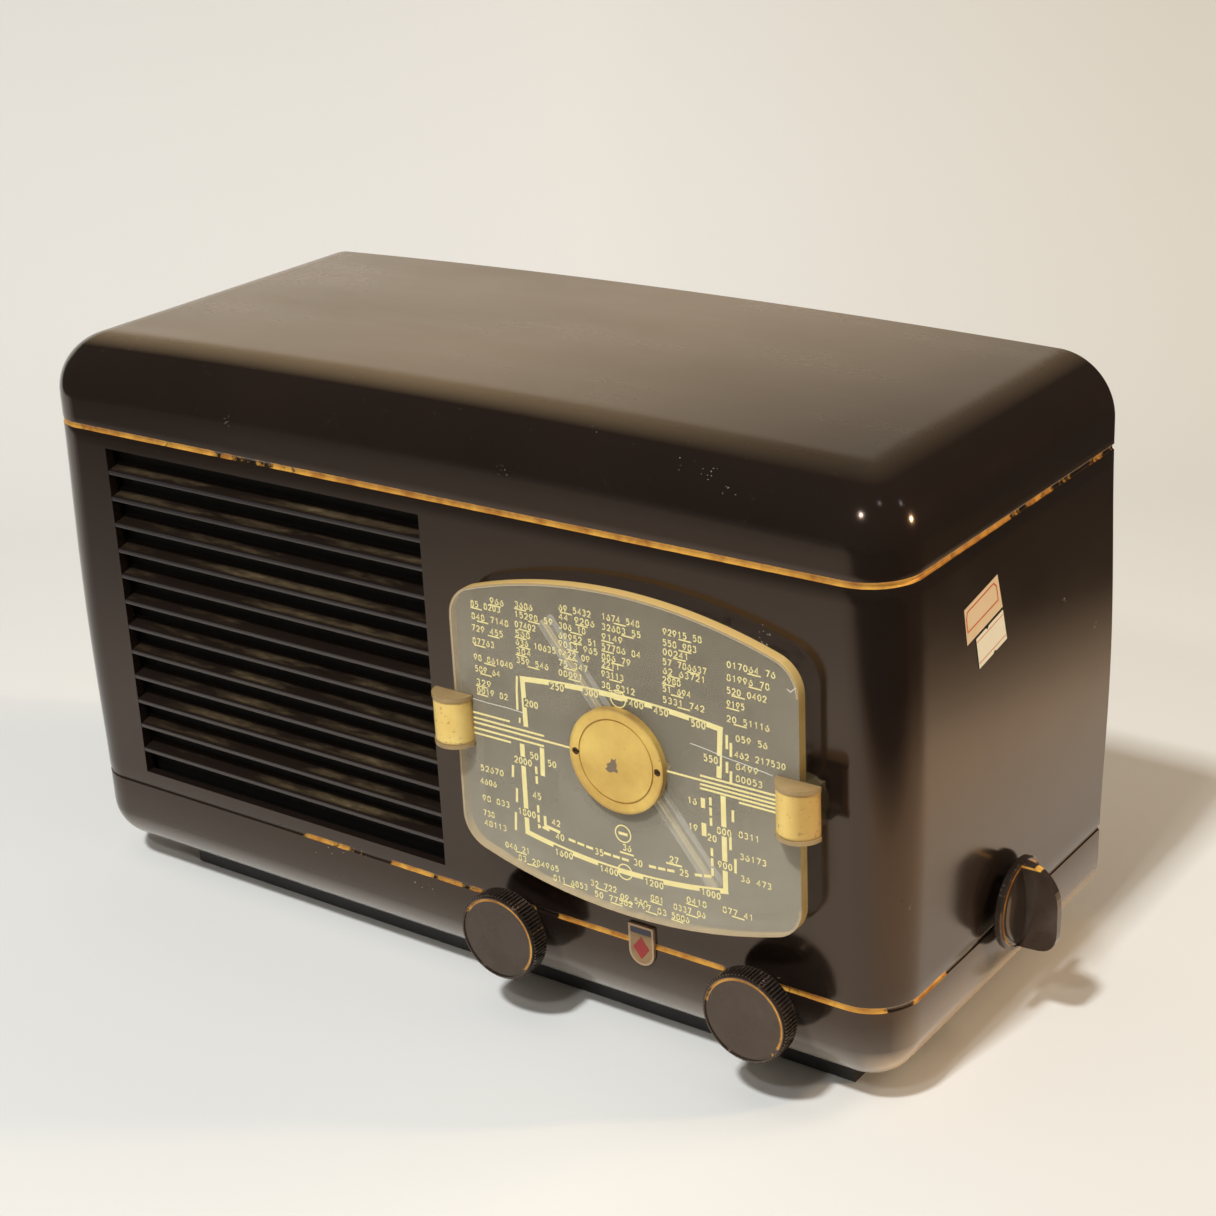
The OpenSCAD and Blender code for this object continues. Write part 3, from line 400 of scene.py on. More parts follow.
def cabinet():
    """Moulded shell of two skins, a rim, the grille opening with its reveal and the slats."""
    skin = Skin()
    outer, inner = shell(0), shell(WALL)
    n_rows, n_columns = outer.shape[:2]
    z = outer[:, n_columns // 2, 2]
    rows = np.nonzero((z > HOLE[2] - TINY) & (z < HOLE[3] + TINY))[0]
    x = outer[rows[0], :, 0]
    place = np.arange(n_columns)
    cols = place[(place > SIDE_STEPS) & (place < n_columns - SIDE_STEPS)
                 & (x > HOLE[0] - TINY) & (x < HOLE[1] + TINY)]
    keep = np.ones((n_rows - 1, n_columns - 1), bool)
    keep[rows[0]:rows[-1], cols[0]:cols[-1]] = False
    paint = np.zeros((n_rows, n_columns))
    for k, height in enumerate(GROOVES):
        inside = np.abs(z - height) < PAINTED
        paint[inside] = gold_left(outer[np.nonzero(inside)[0][0]], WORN[k])
    skin.grid(outer, keep=keep, value=paint)
    skin.grid(inner, flip=True, keep=keep)
    for row, flip in ((-1, False), (0, True)):
        skin.grid(lid(outer, row), flip=flip)
        skin.grid(lid(inner, row), flip=not flip)
    skin.strip(*(np.concatenate([wall[:, 0], lid(wall, -1)[-1], wall[::-1, -1],
                                 lid(wall, 0)[-1][::-1]]) for wall in (outer, inner)))
    for row, col in ((rows[0], cols), (rows, cols[-1]), (rows[-1], cols[::-1]), (rows[::-1], cols[0])):
        edge = outer[row, col]
        back = np.stack([edge[:, 0], inner[row, col][:, 1], edge[:, 2]], -1)
        skin.strip(edge, back)
    slats(skin)
    return skin


def gold_left(line, worn):
    """How much of the paint is left along one groove, from its worn stretches and a ripple."""
    step = np.linalg.norm(np.diff(line, axis=0), axis=1)
    s = np.concatenate([[0], np.cumsum(step)])
    ripple = sum(np.sin(s / length + phase) for length, phase in RIPPLES) / len(RIPPLES)
    left = np.full(len(s), 1.0)
    for a, b, amount in worn:
        left = np.minimum(left, np.where((s > a) & (s < b), 1 - amount, 1.0))
    left = np.convolve(np.pad(left, 1, mode="edge"), np.ones(3) / 3, mode="valid")
    return np.clip(left + 0.28 * ripple, 0, 1)


# Clear dial plate: rim and print
def dial_outline(grown):
    """The plate's outline, grown outwards: four corner arcs joined by long arcs above and below."""
    cx = DIAL_W / 2 - CORNER_R
    far = LONG_R - CORNER_R
    cz = DIAL_H / 2 - LONG_R + math.sqrt(far ** 2 - cx ** 2)
    join = math.degrees(math.acos(cx / far))
    corner = arc(cx, cz, CORNER_R + grown, CORNER_R + grown, 0, join, 14)
    long_arc = arc(0, DIAL_H / 2 - LONG_R, LONG_R + grown, LONG_R + grown, join, 90, 22)
    quarter = np.concatenate([corner, long_arc[1:]])
    half = np.concatenate([quarter, quarter[:-1][::-1] * (-1, 1)])
    return np.concatenate([half, half[::-1] * (1, -1)])


def dial_rim():
    """Polished edge of the plate: a rounded profile carried round the outline. Its paint value is how
    far out each line lies."""
    face, r = PLATE_FRONT - 0.02, 0.78
    turn = np.radians(np.linspace(90, 0, 7))
    profile = [(-1.5, face), (-1.0, face - 0.02)]
    profile += list(zip(-0.75 + r * np.cos(turn), PLATE_FRONT + 0.72 - r * np.sin(turn)))
    profile.append((0.03, PLATE_BACK - 0.02))
    rows = []
    for grown, y in profile:
        line = dial_outline(grown)
        rows.append(np.stack([DIAL_X + line[:, 0], 0 * line[:, 0] + y, DIAL_Z + line[:, 1]], -1))
    skin = Skin()
    skin.grid(np.stack(rows), flip=True,
              value=np.repeat(np.array([grown for grown, _ in profile])[:, None], len(rows[0]), axis=1))
    return skin


def on_plate(line, face=PLATE_FRONT - 0.05, lift=0.0):
    """Points of the dial's plane, from its middle, set on a front face."""
    line = np.asarray(line, float)
    return np.stack([DIAL_X + line[:, 0], 0 * line[:, 0] + face - lift, DIAL_Z + line[:, 1]], -1)


def stroke(skin, line, width, lift=0.0, look=0):
    """A flat band of ink along a line on the plate."""
    left, right = ribbon(line, width)
    skin.strip(on_plate(right, lift=lift), on_plate(left, lift=lift), look)


# Strokes of the ten figures in a box one wide and one high. PITCH is a figure's place in a row.
PITCH = 2.05
FIGURES = {
    "0": [arc(.5, .5, .42, .5, 90, 450, 21)],
    "1": [np.array([(.22, .78), (.55, 1), (.55, 0)])],
    "2": [np.concatenate([arc(.5, .68, .4, .32, 170, -35, 12), [(.08, 0), (.94, 0)]])],
    "3": [np.concatenate([arc(.47, .745, .36, .255, 150, -80, 10), arc(.45, .25, .42, .26, 80, -150, 10)])],
    "4": [np.array([(.72, 0), (.72, 1), (.04, .3), (.96, .3)])],
    "5": [np.concatenate([[(.86, 1), (.2, 1), (.14, .55)], arc(.46, .34, .44, .34, 130, -140, 12)])],
    "6": [np.concatenate([[(.74, .98), (.4, .78)], arc(.5, .32, .42, .32, 150, 510, 20)])],
    "7": [np.array([(.06, 1), (.94, 1), (.36, 0)])],
    "8": [arc(.5, .745, .34, .255, 270, 630, 17), arc(.5, .25, .43, .26, 90, 450, 17)],
    "9": [np.concatenate([[(.26, .02), (.6, .22)], arc(.5, .68, .42, .32, -30, -390, 20)])],
}


def figures(skin, text, x, z, height, pitch=PITCH, bold=0.45, centred=True):
    """A row of figures; a space leaves its place empty."""
    start = x - pitch * len(text) / 2 if centred else x
    wide = pitch * 0.7
    for i, sign in enumerate(text):
        corner = (start + i * pitch + (pitch - wide) / 2, z - height / 2)
        for line in FIGURES.get(sign, []):
            stroke(skin, np.asarray(line) * (wide, height) + corner, bold)


def bar(skin, points, width, gaps=(), kept=None, side=0.0, lift=0.0):
    """A band along a line, interrupted or thinned to a strip on one side where figures stand."""
    p = np.asarray(points, float)
    step = lengths(p)

    def part(a, b, w, shift):
        s = np.unique(np.concatenate([[a], step[(step > a) & (step < b)], [b]]))
        line = np.stack([np.interp(s, step, p[:, 0]), np.interp(s, step, p[:, 1])], -1)
        if shift:
            left, _ = ribbon(line, 2 * abs(shift))
            line = left if shift > 0 else 2 * line - left
        stroke(skin, line, w, lift)

    at = 0.0
    for a, b in gaps:
        part(at, a, width, 0)
        if kept:
            part(a, b, kept, side * (width - kept) / 2)
        at = b
    part(at, step[-1], width, 0)


def bowed(x0, x1, middle_x, middle_z, drop, n=24):
    """A shallow curve: its height falls with the square of the distance from its middle."""
    x = np.linspace(x0, x1, n)
    return np.stack([x, middle_z + drop * (x - middle_x) ** 2], -1)


def around(start, rows, half):
    """Stretches of a line, from its start, that lie around the places of figures."""
    return [(x - half - start, x + half - start) for _, x, _ in rows]


def lengths(line):
    """Distance of each point of a line from its start, along it."""
    return np.concatenate([[0], np.cumsum(np.linalg.norm(np.diff(line, axis=0), axis=1))])


# Rows of small figures: left end, middle height, length.
ROWS = (
    (-52.5, 47.8, 6.5), (-61.1, 45.1, 13.4), (-61.1, 40.5, 16.6), (-61.4, 36.0, 14.2),
    (-61.4, 31.1, 10.0), (-61.3, 24.9, 17.5), (-61.2, 20.5, 11.5), (-61.0, 15.5, 7.0),
    (-60.9, 12.3, 14.0), (-41.7, 48.6, 8.1), (-42.0, 45.0, 16.7), (-42.1, 41.2, 9.3),
    (-42.2, 37.9, 6.9), (-42.2, 34.6, 17.5), (-42.3, 31.3, 6.9), (-42.4, 27.8, 14.2),
    (-22.8, 51.2, 13.7), (-23.0, 47.9, 15.3), (-23.2, 44.6, 11.6), (-23.5, 40.9, 16.3),
    (-23.7, 37.9, 16.7), (-23.9, 34.5, 13.4), (-24.1, 30.7, 12.6), (-24.4, 27.0, 10.6),
    (-5.0, 51.6, 15.7), (-5.2, 47.9, 16.2), (-5.4, 44.3, 9.0), (-5.6, 40.6, 16.2),
    (-5.8, 36.9, 12.2), (-5.9, 34.3, 7.7), (-6.2, 30.6, 9.5), (-6.4, 26.5, 14.0),
    (19.5, 51.2, 15.6), (19.3, 47.3, 13.7), (19.2, 44.0, 10.6), (19.0, 40.4, 17.6),
    (18.9, 37.2, 17.2), (18.7, 33.9, 7.6), (18.6, 30.6, 11.5), (18.4, 26.6, 17.0),
    (44.1, 44.8, 18.8), (43.9, 40.2, 16.7), (43.8, 35.6, 15.6), (43.7, 30.9, 7.2),
    (43.5, 25.5, 16.8), (46.8, 19.1, 12.6), (46.2, 13.2, 19.9), (46.5, 8.9, 9.2),
    (46.4, 4.5, 10.8), (47.0, -16.0, 8.6), (47.2, -24.2, 10.9), (47.3, -32.4, 12.6),
    (39.8, -46.4, 12.7), (-61.9, -18.3, 10.9), (-62.3, -23.6, 7.7), (-61.9, -30.3, 12.7),
    (-62.0, -36.3, 5.5), (-61.8, -40.3, 10.5), (-52.8, -46.8, 11.3), (-47.2, -50.5, 18.4),
    (-31.8, -54.3, 15.4), (-15.4, -51.7, 11.6), (-13.9, -55.7, 16.7), (-2.7, -53.6, 11.9),
    (4.1, -54.9, 13.0), (10.2, -50.4, 5.8), (25.2, -46.8, 8.6), (19.7, -51.1, 13.5),
    (18.7, -54.9, 7.8),
)


def print_rows(skin):
    """Rows of plain numbers, most of them with a short rule under a part of the row."""
    for x, z, length in ROWS:
        count = max(2, round(length / PITCH))
        text = "".join(str(rng.integers(0, 10)) for _ in range(count))
        if count > 5:
            at = int(rng.integers(2, count - 2))
            text = text[:at] + " " + text[at + 1:]
        figures(skin, text, x, z, 2.1, length / count, 0.40, centred=False)
        upper_left, upper_right, foot = z > 5 and x < 44, x > 43.2 and z > 24, z < -46
        if upper_left or upper_right or foot:
            start = x + (0.0 if length < 9 else rng.uniform(0, 0.8) * (length - 5))
            stroke(skin, [(start, z - 1.6), (start + 5, z - 1.7)], 0.48, OVER_LINE)


# Figures of the scales: text, middle across, middle up. The first five of the upper scale and the
# last four of the lower one stand in their bars.
UPPER = (("250", -25.2, 21.2), ("300", -10.8, 22.2), ("400", 7.8, 22.2), ("450", 17.8, 21.8),
         ("500", 32.5, 20.6), ("200", -36.8, 12.1), ("550", 37.0, 9.1))
LOWER = (("2000", -42.1, -11.1), ("1800", -41.8, -31.4), ("800", 41.5, -16.7), ("900", 41.5, -29.5),
         ("1600", -26.3, -43.6), ("1400", -6.9, -44.8), ("1200", 12.1, -44.6), ("1000", 35.5, -41.9))
INNER = (("50", -37.0, -7.9), ("45", -36.8, -23.4), ("40", -27.6, -37.2), ("35", -10.8, -38.6),
         ("30", 5.7, -38.3), ("25", 24.8, -36.9), ("20", 36.6, -20.3))
LOOSE = (("50", -29.3, -9.1), ("42", -29.0, -32.0), ("36", 1.3, -33.7), ("27", 20.8, -33.0),
         ("16", 29.1, -8.3), ("19", 29.1, -18.2))
# Single ticks: a line and its width.
TICKS = (
    ([(-33.3, -3.9), (-33.6, -14.8)], 1.9), ([(-33.8, -30.6), (-33.8, -34.4), (-27.4, -35.4)], 1.2),
    ([(-1.8, -36.0), (4.1, -36.0)], 0.7), ([(17.5, -34.9), (24.0, -34.7)], 0.7),
    ([(33.4, -6.2), (33.4, -9.9)], 1.7), ([(33.5, -15.5), (33.5, -20.4)], 1.9),
    ([(43.6, 19.4), (43.5, 14.3)], 1.0), ([(45.1, 16.9), (45.0, 11.8)], 1.0),
    ([(43.4, 9.6), (43.3, 5.5)], 1.0), ([(44.9, 6.6), (44.7, 2.2)], 1.0),
    ([(45.2, -7.7), (45.1, -12.1)], 1.0), ([(43.9, -17.6), (43.9, -22.9)], 1.0),
    ([(45.7, -25.8), (45.6, -31.2)], 1.0),
    ([(-46.7, -13.8), (-47.1, -18.6)], 1.0), ([(-45.6, -22.6), (-46.0, -28.2)], 1.0),
    ([(-46.8, -32.4), (-47.3, -39.7)], 1.0), ([(-42.4, 21.5), (-42.9, 16.0), (-43.1, 8.4)], 0.9),
    ([(-42.3, 5.6), (-42.5, 3.6)], 0.7),
)
# Rings: middle across, middle up, radius. Long rules: from, to, height.
RINGS = ((0.4, 22.5, 3.1), (0.0, -43.4, 2.9), (-0.1, -28.6, 3.2))
RULES = ((-65.0, -46.8, 3.1), (-65.0, -32.0, 1.0), (-65.0, -19.0, -0.8), (-65.0, -32.3, -3.0),
         (-65.0, -46.9, -5.0), (32.6, 63.0, 2.0), (19.0, 63.0, 0.3), (32.5, 63.0, -1.2),
         (32.4, 63.0, -2.7), (47.7, 63.0, -4.2))
# Lines cross in steps of height, so that no two lie in one plane.
OVER_RULE, OVER_LINE, ON_TOP = 0.006, 0.012, 0.02
WIDE, THIN = 2.0, 0.8


def dashes(skin, line, marks):
    """Short dashes along the inner line, left out where figures stand."""
    along = lengths(line)
    for s in np.arange(0, along[-1] - 3, 3.8):
        ends = [(np.interp(v, along, line[:, 0]), np.interp(v, along, line[:, 1]))
                for v in (s, s + 1.5, s + 3)]
        if all(np.hypot(ends[1][0] - x, ends[1][1] - z) > 3.4 for _, x, z in marks):
            stroke(skin, ends, 1.0)


def print_figures(skin, rows, height=2.3):
    for text, x, z in rows:
        figures(skin, text, x, z, height)


def print_scales(skin):
    """Two framed scales, a dashed one inside, rings, ticks and the long rules across."""
    bar(skin, bowed(-41.1, 42.1, 0.4, 23.3, -0.001456), WIDE, around(-41.1, UPPER[:5], 3.4), THIN, 1)
    bar(skin, [(-40.1, 21.6), (-39.8, 2.7)], WIDE, [(7.8, 11.4)], THIN, -1, OVER_LINE)
    bar(skin, [(41.1, 21.6), (40.1, 2.9)], WIDE, [(10.6, 14.4)], THIN, 1, OVER_LINE)
    print_figures(skin, UPPER)
    bar(skin, bowed(-42.9, 42.5, 0, -43.4, 0.00244), WIDE, around(-42.9, LOWER[-4:], 4.2), THIN, 1)
    bar(skin, [(-42.0, -4.4), (-42.0, -39.6)], WIDE, [(5.0, 8.6), (25.3, 28.9)], lift=OVER_LINE)
    bar(skin, [(41.5, -3.4), (41.5, -39.8)], WIDE, [(11.5, 15.1), (24.4, 28.0)], lift=OVER_LINE)
    print_figures(skin, LOWER)
    foot = bowed(-36.7, 36.4, 0, -38.5, 0.0026)
    dashes(skin, np.concatenate([[(-36.3, -4.2), (-36.7, -35.9)], foot, [(36.4, -3.6)]]), INNER)
    print_figures(skin, INNER)
    print_figures(skin, LOOSE, 2.2)
    for line, width in TICKS:
        stroke(skin, line, width)
    for x, z, r in RINGS:
        stroke(skin, arc(x, z, r, r, 0, 360, 33), 0.5, OVER_LINE)
    for x, z, _ in RINGS:
        stroke(skin, [(x - 1.9, z), (x + 1.9, z)], 1.1, OVER_LINE)
    for start, end, z in RULES:
        stroke(skin, [(start, z), (end, z)], 0.75, OVER_RULE)


def print_dial():
    skin = Skin()
    print_rows(skin)
    print_scales(skin)
    return skin


def cracks():
    """Two hair cracks from the holders and a nick, as thin pale lines."""
    skin = Skin()
    for line in ([(-64.2, 8.4), (-56, 8.1), (-48, 8.2), (-40.3, 7.9)],
                 [(29.0, 13.0), (36, 12.2), (42, 11.2), (50, 10.4), (61.0, 8.9)],
                 [(66.9, 41.1), (68.2, 40.3), (70.2, 42.2)]):
        stroke(skin, line, 0.28, ON_TOP)
    return skin


def chipped_spot():
    """Bare patch in the middle of the disc: an uneven outline laid on its face."""
    outline = np.array([(-1.7, 0.9), (-2.2, -0.7), (-3.9, -1.7), (-3.5, -2.6), (-4.5, -3.7),
                        (-3.2, -4.6), (-1.9, -4.5), (-1.2, -3.9), (0.4, -4.2), (0.8, -3.4),
                        (0.0, -2.4), (0.5, -1.4), (-0.1, 0.2), (0.3, 1.3), (-0.8, 0.4)])
    skin = Skin()
    skin.loose(on_plate(outline, DISC_FRONT - 0.03), [range(len(outline))])
    return skin


# Labels, badge and marks
def side_at(z):
    """How far out the bulged side is at a height."""
    return HALF + swelled(z)


def side_sheet(skin, corners, lift, look, notches=()):
    """A paper sheet on the right side: blended between its corners and lifted off the bulge."""
    u = np.linspace(0, 1, 41)[None, :, None]
    v = np.linspace(0, 1, 9)[:, None, None]
    a, b, c, d = (np.asarray(p, float) for p in corners)
    flat = (1 - v) * ((1 - u) * a + u * b) + v * ((1 - u) * d + u * c)
    for at, deep, top in notches:
        dent = deep * np.clip(1 - np.abs(u[..., 0] - at) / 0.05, 0, 1)
        flat[..., 1] += -dent * v[..., 0] ** 4 if top else dent * (1 - v[..., 0]) ** 4
    x = side_at(flat[..., 1]) + lift
    skin.grid(np.stack([x, flat[..., 0], flat[..., 1]], -1), look=look)


def side_line(skin, points, width, lift, look):
    """A printed line on a label, following the bulge."""
    left, right = ribbon(points, width)
    rows = []
    for line in (right, left):
        rows.append(np.stack([side_at(line[:, 1]) + lift, line[:, 0], line[:, 1]], -1))
    skin.grid(np.stack(rows), look=look)


def labels():
    """Two blank paper labels with plain printed lines, on the right side."""
    skin = Skin()
    first = ((-33.5, 160.0), (-8.0, 164.7), (-11.5, 177.4), (-35.3, 173.0))
    second = ((-25.3, 148.7), (-5.2, 152.2), (-8.0, 163.6), (-27.4, 160.1))
    side_sheet(skin, first, 0.14, 0)
    side_sheet(skin, second, 0.22, 1, ((0.42, 1.1, True), (0.55, 1.0, False)))
    frame_line = [(-33.0, 164.4), (-33.9, 169.5), (-33.2, 171.6), (-14.4, 175.2), (-12.4, 173.6),
                  (-11.2, 168.2), (-33.0, 164.4)]
    side_line(skin, frame_line, 0.55, 0.2, 2)
    side_line(skin, [(-27.0, 158.6), (-8.1, 162.0)], 0.25, 0.28, 2)
    side_line(skin, [(-25.4, 150.6), (-5.9, 154.0)], 0.25, 0.28, 2)
    return skin


def badge_enamel():
    """Coloured fields of the badge: a red lozenge and a blue bar, raised a little."""
    skin = Skin()
    y = FRONT - 1.2
    lozenge = ((-3.4, -1.0), (0, -5.4), (3.4, -1.0), (0, 3.4))
    strip = ((-4.3, 4.7), (4.3, 4.7), (4.3, 6.9), (-4.3, 6.9))
    for look, field in enumerate((lozenge, strip)):
        skin.prism([(DIAL_X + p, BADGE_Z + q) for p, q in field], 1, y - 0.15, y + 0.1, look)
    return skin


def over_edge(x, angle):
    """Points on the rounded top front edge and their normals; 0 degrees faces the viewer, 90 is up."""
    a = np.radians(np.asarray(angle, float))
    y = FRONT + TOP_ROUND * (1 - np.cos(a))
    z = crowned(np.asarray(x, float), TOP_ROUND * np.sin(a), 1)
    return np.stack([x, y, z], -1), np.stack([0 * a, -np.cos(a), np.sin(a)], -1)


def flecks(skin, middles, normals, radii):
    """Small six sided chips, each laid flat on the surface at its middle."""
    along = np.cross(normals, (0.3, 0.9, 0.31))
    along /= np.linalg.norm(along, axis=1)[:, None]
    across = np.cross(normals, along)
    turn = np.radians(np.arange(6) * 60)[None, :, None]
    n = len(radii)
    stretch = rng.uniform(0.45, 1.0, (n, 1, 1))
    wave = rng.uniform(0.7, 1.2, (n, 6, 1))
    shape = np.cos(turn) * along[:, None] + stretch * np.sin(turn) * across[:, None]
    points = middles[:, None] + normals[:, None] * 0.04
    points = points + shape * wave * np.asarray(radii)[:, None, None]
    skin.loose(points.reshape(-1, 3), np.arange(6 * n).reshape(n, 6).tolist())


# Knocks on the top front edge: middle across, its angle, width, how many marks, their size.
EDGE_KNOCKS = ((118, 42, 9, 12, 0.24), (128, 30, 7, 7, 0.2), (-88, 4, 4, 9, 0.22),
               (39.5, 6, 3, 8, 0.2), (-150, 60, 9, 6, 0.18))
# Knocks on the front: middle across and up, spread across and up, how many marks.
FRONT_KNOCKS = ((143.2, 168.5, 0.8, 2.2, 16), (-60, 37, 3, 1.5, 5), (-10, 35, 4, 1, 4))
# Knocks on the side: middle along and up, how many marks.
SIDE_KNOCKS = ((-72, 82.0, 3), (66.5, 130.4, 4), (20, 60, 4), (40, 150, 3))


def wear_marks():
    """Pale chips and scuffs: loose ones over the whole front edge and clusters where it was knocked."""
    skin = Skin()
    loose = 70
    x = rng.uniform(-165, 165, loose)
    points, normals = over_edge(x, rng.uniform(0, 88, loose))
    flecks(skin, points, normals, rng.uniform(0.07, 0.16, loose))
    for cx, ca, wide, count, size in EDGE_KNOCKS:
        points, normals = over_edge(cx + rng.normal(0, wide / 2, count), ca + rng.normal(0, 5, count))
        flecks(skin, points, normals, rng.uniform(0.5, 1.0, count) * size)
    for cx, cz, sx, sz, count in FRONT_KNOCKS:
        x, z = rng.normal(cx, sx, count), rng.normal(cz, sz, count)
        middles = np.stack([x, np.full(count, FRONT), z], -1)
        flecks(skin, middles, np.tile((0.0, -1.0, 0.0), (count, 1)), rng.uniform(0.15, 0.36, count))
    for cy, cz, count in SIDE_KNOCKS:
        z = rng.normal(cz, 0.8, count)
        middles = np.stack([side_at(z), rng.normal(cy, 0.8, count), z], -1)
        flecks(skin, middles, np.tile((1.0, 0.0, 0.0), (count, 1)), rng.uniform(0.15, 0.4, count))
    return skin


# Finishes
RESIN = {"IOR": 1.68, "Specular_Tint": (1.0, 0.76, 0.60)}
CLEAR_IOR = 1.49


def plain(name, color, rough=0.5, metal=0.0, grain=60.0, spread=0.15, rise=0.0, **more):
    """A plain finish: one colour with a little lighter and darker mottling."""
    t = Tree(name)
    n = t.noise(grain)
    dark = [c * (1 - spread) for c in color]
    light = [min(1, c * (1 + spread)) for c in color]
    if rise:
        t.bump(t.noise(grain * 8, 3), rise)
    return t.set(Base_Color=t.mix(t.span(n, 0.3, 0.7), dark, light), Metallic=metal,
                 Roughness=t.span(n, 0.2, 0.8, rough * 0.85, min(1, rough * 1.15)), **more)


def gold(t):
    """Old gold paint: warm yellow with browner patches."""
    return t.mix(t.patches(0.35, 0.68, 160, 4, seed=5), tone(240, 184, 84), tone(186, 122, 52))


def resin(t, painted_top_light=True):
    """Brown-black resin and, unless turned off, a dull brown lightening of its flat top: painted light that
    stands for the light the top catches and reflects, thinner at the right end.
    """
    base = t.mix(t.patches(0.3, 0.7, 9, 5), (0.0125, 0.0078, 0.0058), (0.0175, 0.0110, 0.0080))
    rough = t.span(t.noise(30, 5, 0.65, (0.25, 1, 1.0), seed=3), 0.25, 0.75, 0.10, 0.20)
    if painted_top_light:
        # Painted light on the flat top: a lighter brown on upward faces, strongest at the rear left and
        # fading towards the right end.
        up = t.both(t.span(t.normal("Z"), 0.84, 0.996), t.span(t.axis("Z"), 200.0, 215.0))
        along = t.slant(t.axis("X"), -1.0, t.axis("Y"), 0.5)
        base = t.lay(base, (0.195, 0.135, 0.076), up, t.span(along, -235.0, 10.0, 0.16, 1.0, smooth=True),
                     t.span(t.noise(14, 6, 0.6, seed=8), 0.25, 0.75, 0.82, 1.0))
        rough = t.math("ADD", rough, t.both(up, 0.14))
    return base, rough


def moulded():
    """Cabinet finish: resin; a lighter colour low on the front, low on the right side and on the lower
    rounding, a painted reflection of the bright floor, patchy on the front; and in the two grooves the paint
    that the mesh's paint values leave."""
    t = Tree("bakelite")
    base, rough = resin(t)
    left = t.paint()
    worn = t.math("MULTIPLY_ADD", t.noise(520, 5, 0.65, seed=2), 0.7, t.math("SUBTRACT", left, 0.35))
    painted = t.both(t.span(worn, 0.40, 0.56), t.span(left, 0.02, 0.12))
    # Painted reflection of the floor: lighter low on the front, in patches, weaker at the left end.
    base = t.lay(base, (0.20, 0.175, 0.145),
                 t.span(t.axis("Z"), 38.0, 12.0, smooth=True), t.span(t.normal("Z"), 0.5, 0.2),
                 t.span(t.noise(30, 6, 0.7, (1, 1, 0.5), seed=11), 0.2, 0.8, 0.6, 1.0),
                 t.span(t.axis("X"), -170.0, 150.0, 0.15, 1.0), 0.9)
    # Painted reflection of the warm-lit floor: lighter low on the right side, mostly towards the front.
    base = t.lay(base, (0.60, 0.46, 0.30),
                 t.span(t.normal("X"), 0.75, 0.98), t.span(t.axis("Z"), 52.0, 14.0, smooth=True),
                 t.span(t.axis("Y"), 60.0, -30.0, 0.3, 1.0), 0.35)
    # Painted reflection of the floor on the downward-facing lower rounding, warmer where it turns to the
    # right side.
    under = t.span(t.normal("Z"), -0.12, -0.55)
    base = t.lay(base, (0.50, 0.46, 0.41), under, 0.40)
    base = t.lay(base, (0.80, 0.56, 0.33), under, t.span(t.normal("X"), 0.25, 0.7), 0.75)
    base = t.lay(base, gold(t), painted)
    return t.set(Base_Color=base, Roughness=t.blend(painted, rough, 0.42), Metallic=t.both(painted, 0.25),
                 **RESIN)


def louvred():
    """Slats: plain resin with pale, patchy dust in streaks behind their lips."""
    t = Tree("bakelite_louvres")
    base, rough = resin(t, False)
    back = t.axis("Y", FRONT)
    up = t.span(t.normal("Z"), 0.3, 0.9)
    from_middle = t.math("ABSOLUTE", t.axis("X", -70.0))
    dust = t.both(up, t.patches(0.47, 0.74, 60, 6, 0.7, (0.25, 1, 1), seed=6),
                  t.span(t.noise(500, 4, 0.7, (0.3, 1, 1), seed=2), 0.3, 0.7, 0.35, 1.0),
                  t.span(back, 0.9, 2.2), t.span(back, 6.4, 3.6), t.span(from_middle, 90.0, 30.0, 0.45, 1.0))
    base = t.lay(base, (0.014, 0.009, 0.006), up, t.span(back, 0.3, 0.8), 0.5)
    base = t.lay(base, t.mix(t.noise(400, 3), (0.14, 0.095, 0.048), (0.31, 0.22, 0.115)), dust)
    base = t.lay(base, (0.028, 0.026, 0.028), t.span(back, 0.9, 0.5), t.span(t.normal("Y"), -0.3, -0.7))
    rough = t.math("MAXIMUM", t.blend(dust, rough, 0.8), t.both(up, 0.45))
    return t.set(Base_Color=base, Roughness=rough, **RESIN)


def knob_finish(name, axes, centre, ring, face, above, kept):
    """Knob: resin, a painted ring line kept mainly on one side, specks between the ribs."""
    t = Tree(name)
    base, rough = resin(t, False)
    r = t.radius(*axes, centre)
    du, dv = (t.axis(axis, middle) for axis, middle in zip(axes, centre))
    side = t.math("DIVIDE", t.slant(du, kept[0], dv, kept[1]), t.math("MAXIMUM", r, 1.0))
    inwards = -1 if above > 0 else 1
    near = t.span(t.axis(face), above + 0.9 * inwards, above + 0.7 * inwards)
    worn = t.math("ADD", t.span(side, -0.9, 0.7), t.math("MULTIPLY_ADD", t.noise(420, 4, seed=4), 1.4, -0.7))
    line = t.both(t.ring(r, *ring, 0.12), near, t.span(worn, 0.42, 0.62))
    base = t.lay(base, (0.062, 0.047, 0.037), t.patches(0.2, 0.8, 60, 5, 0.65, seed=1), 0.8)
    base = t.lay(base, (0.20, 0.165, 0.11), t.patches(0.60, 0.72, 900, 3, seed=9),
                 t.span(r, ring[1] + 0.3, ring[1] + 0.6), 0.55)
    base = t.lay(base, gold(t), line)
    return t.set(Base_Color=base, Roughness=t.blend(line, rough, 0.42), **RESIN)


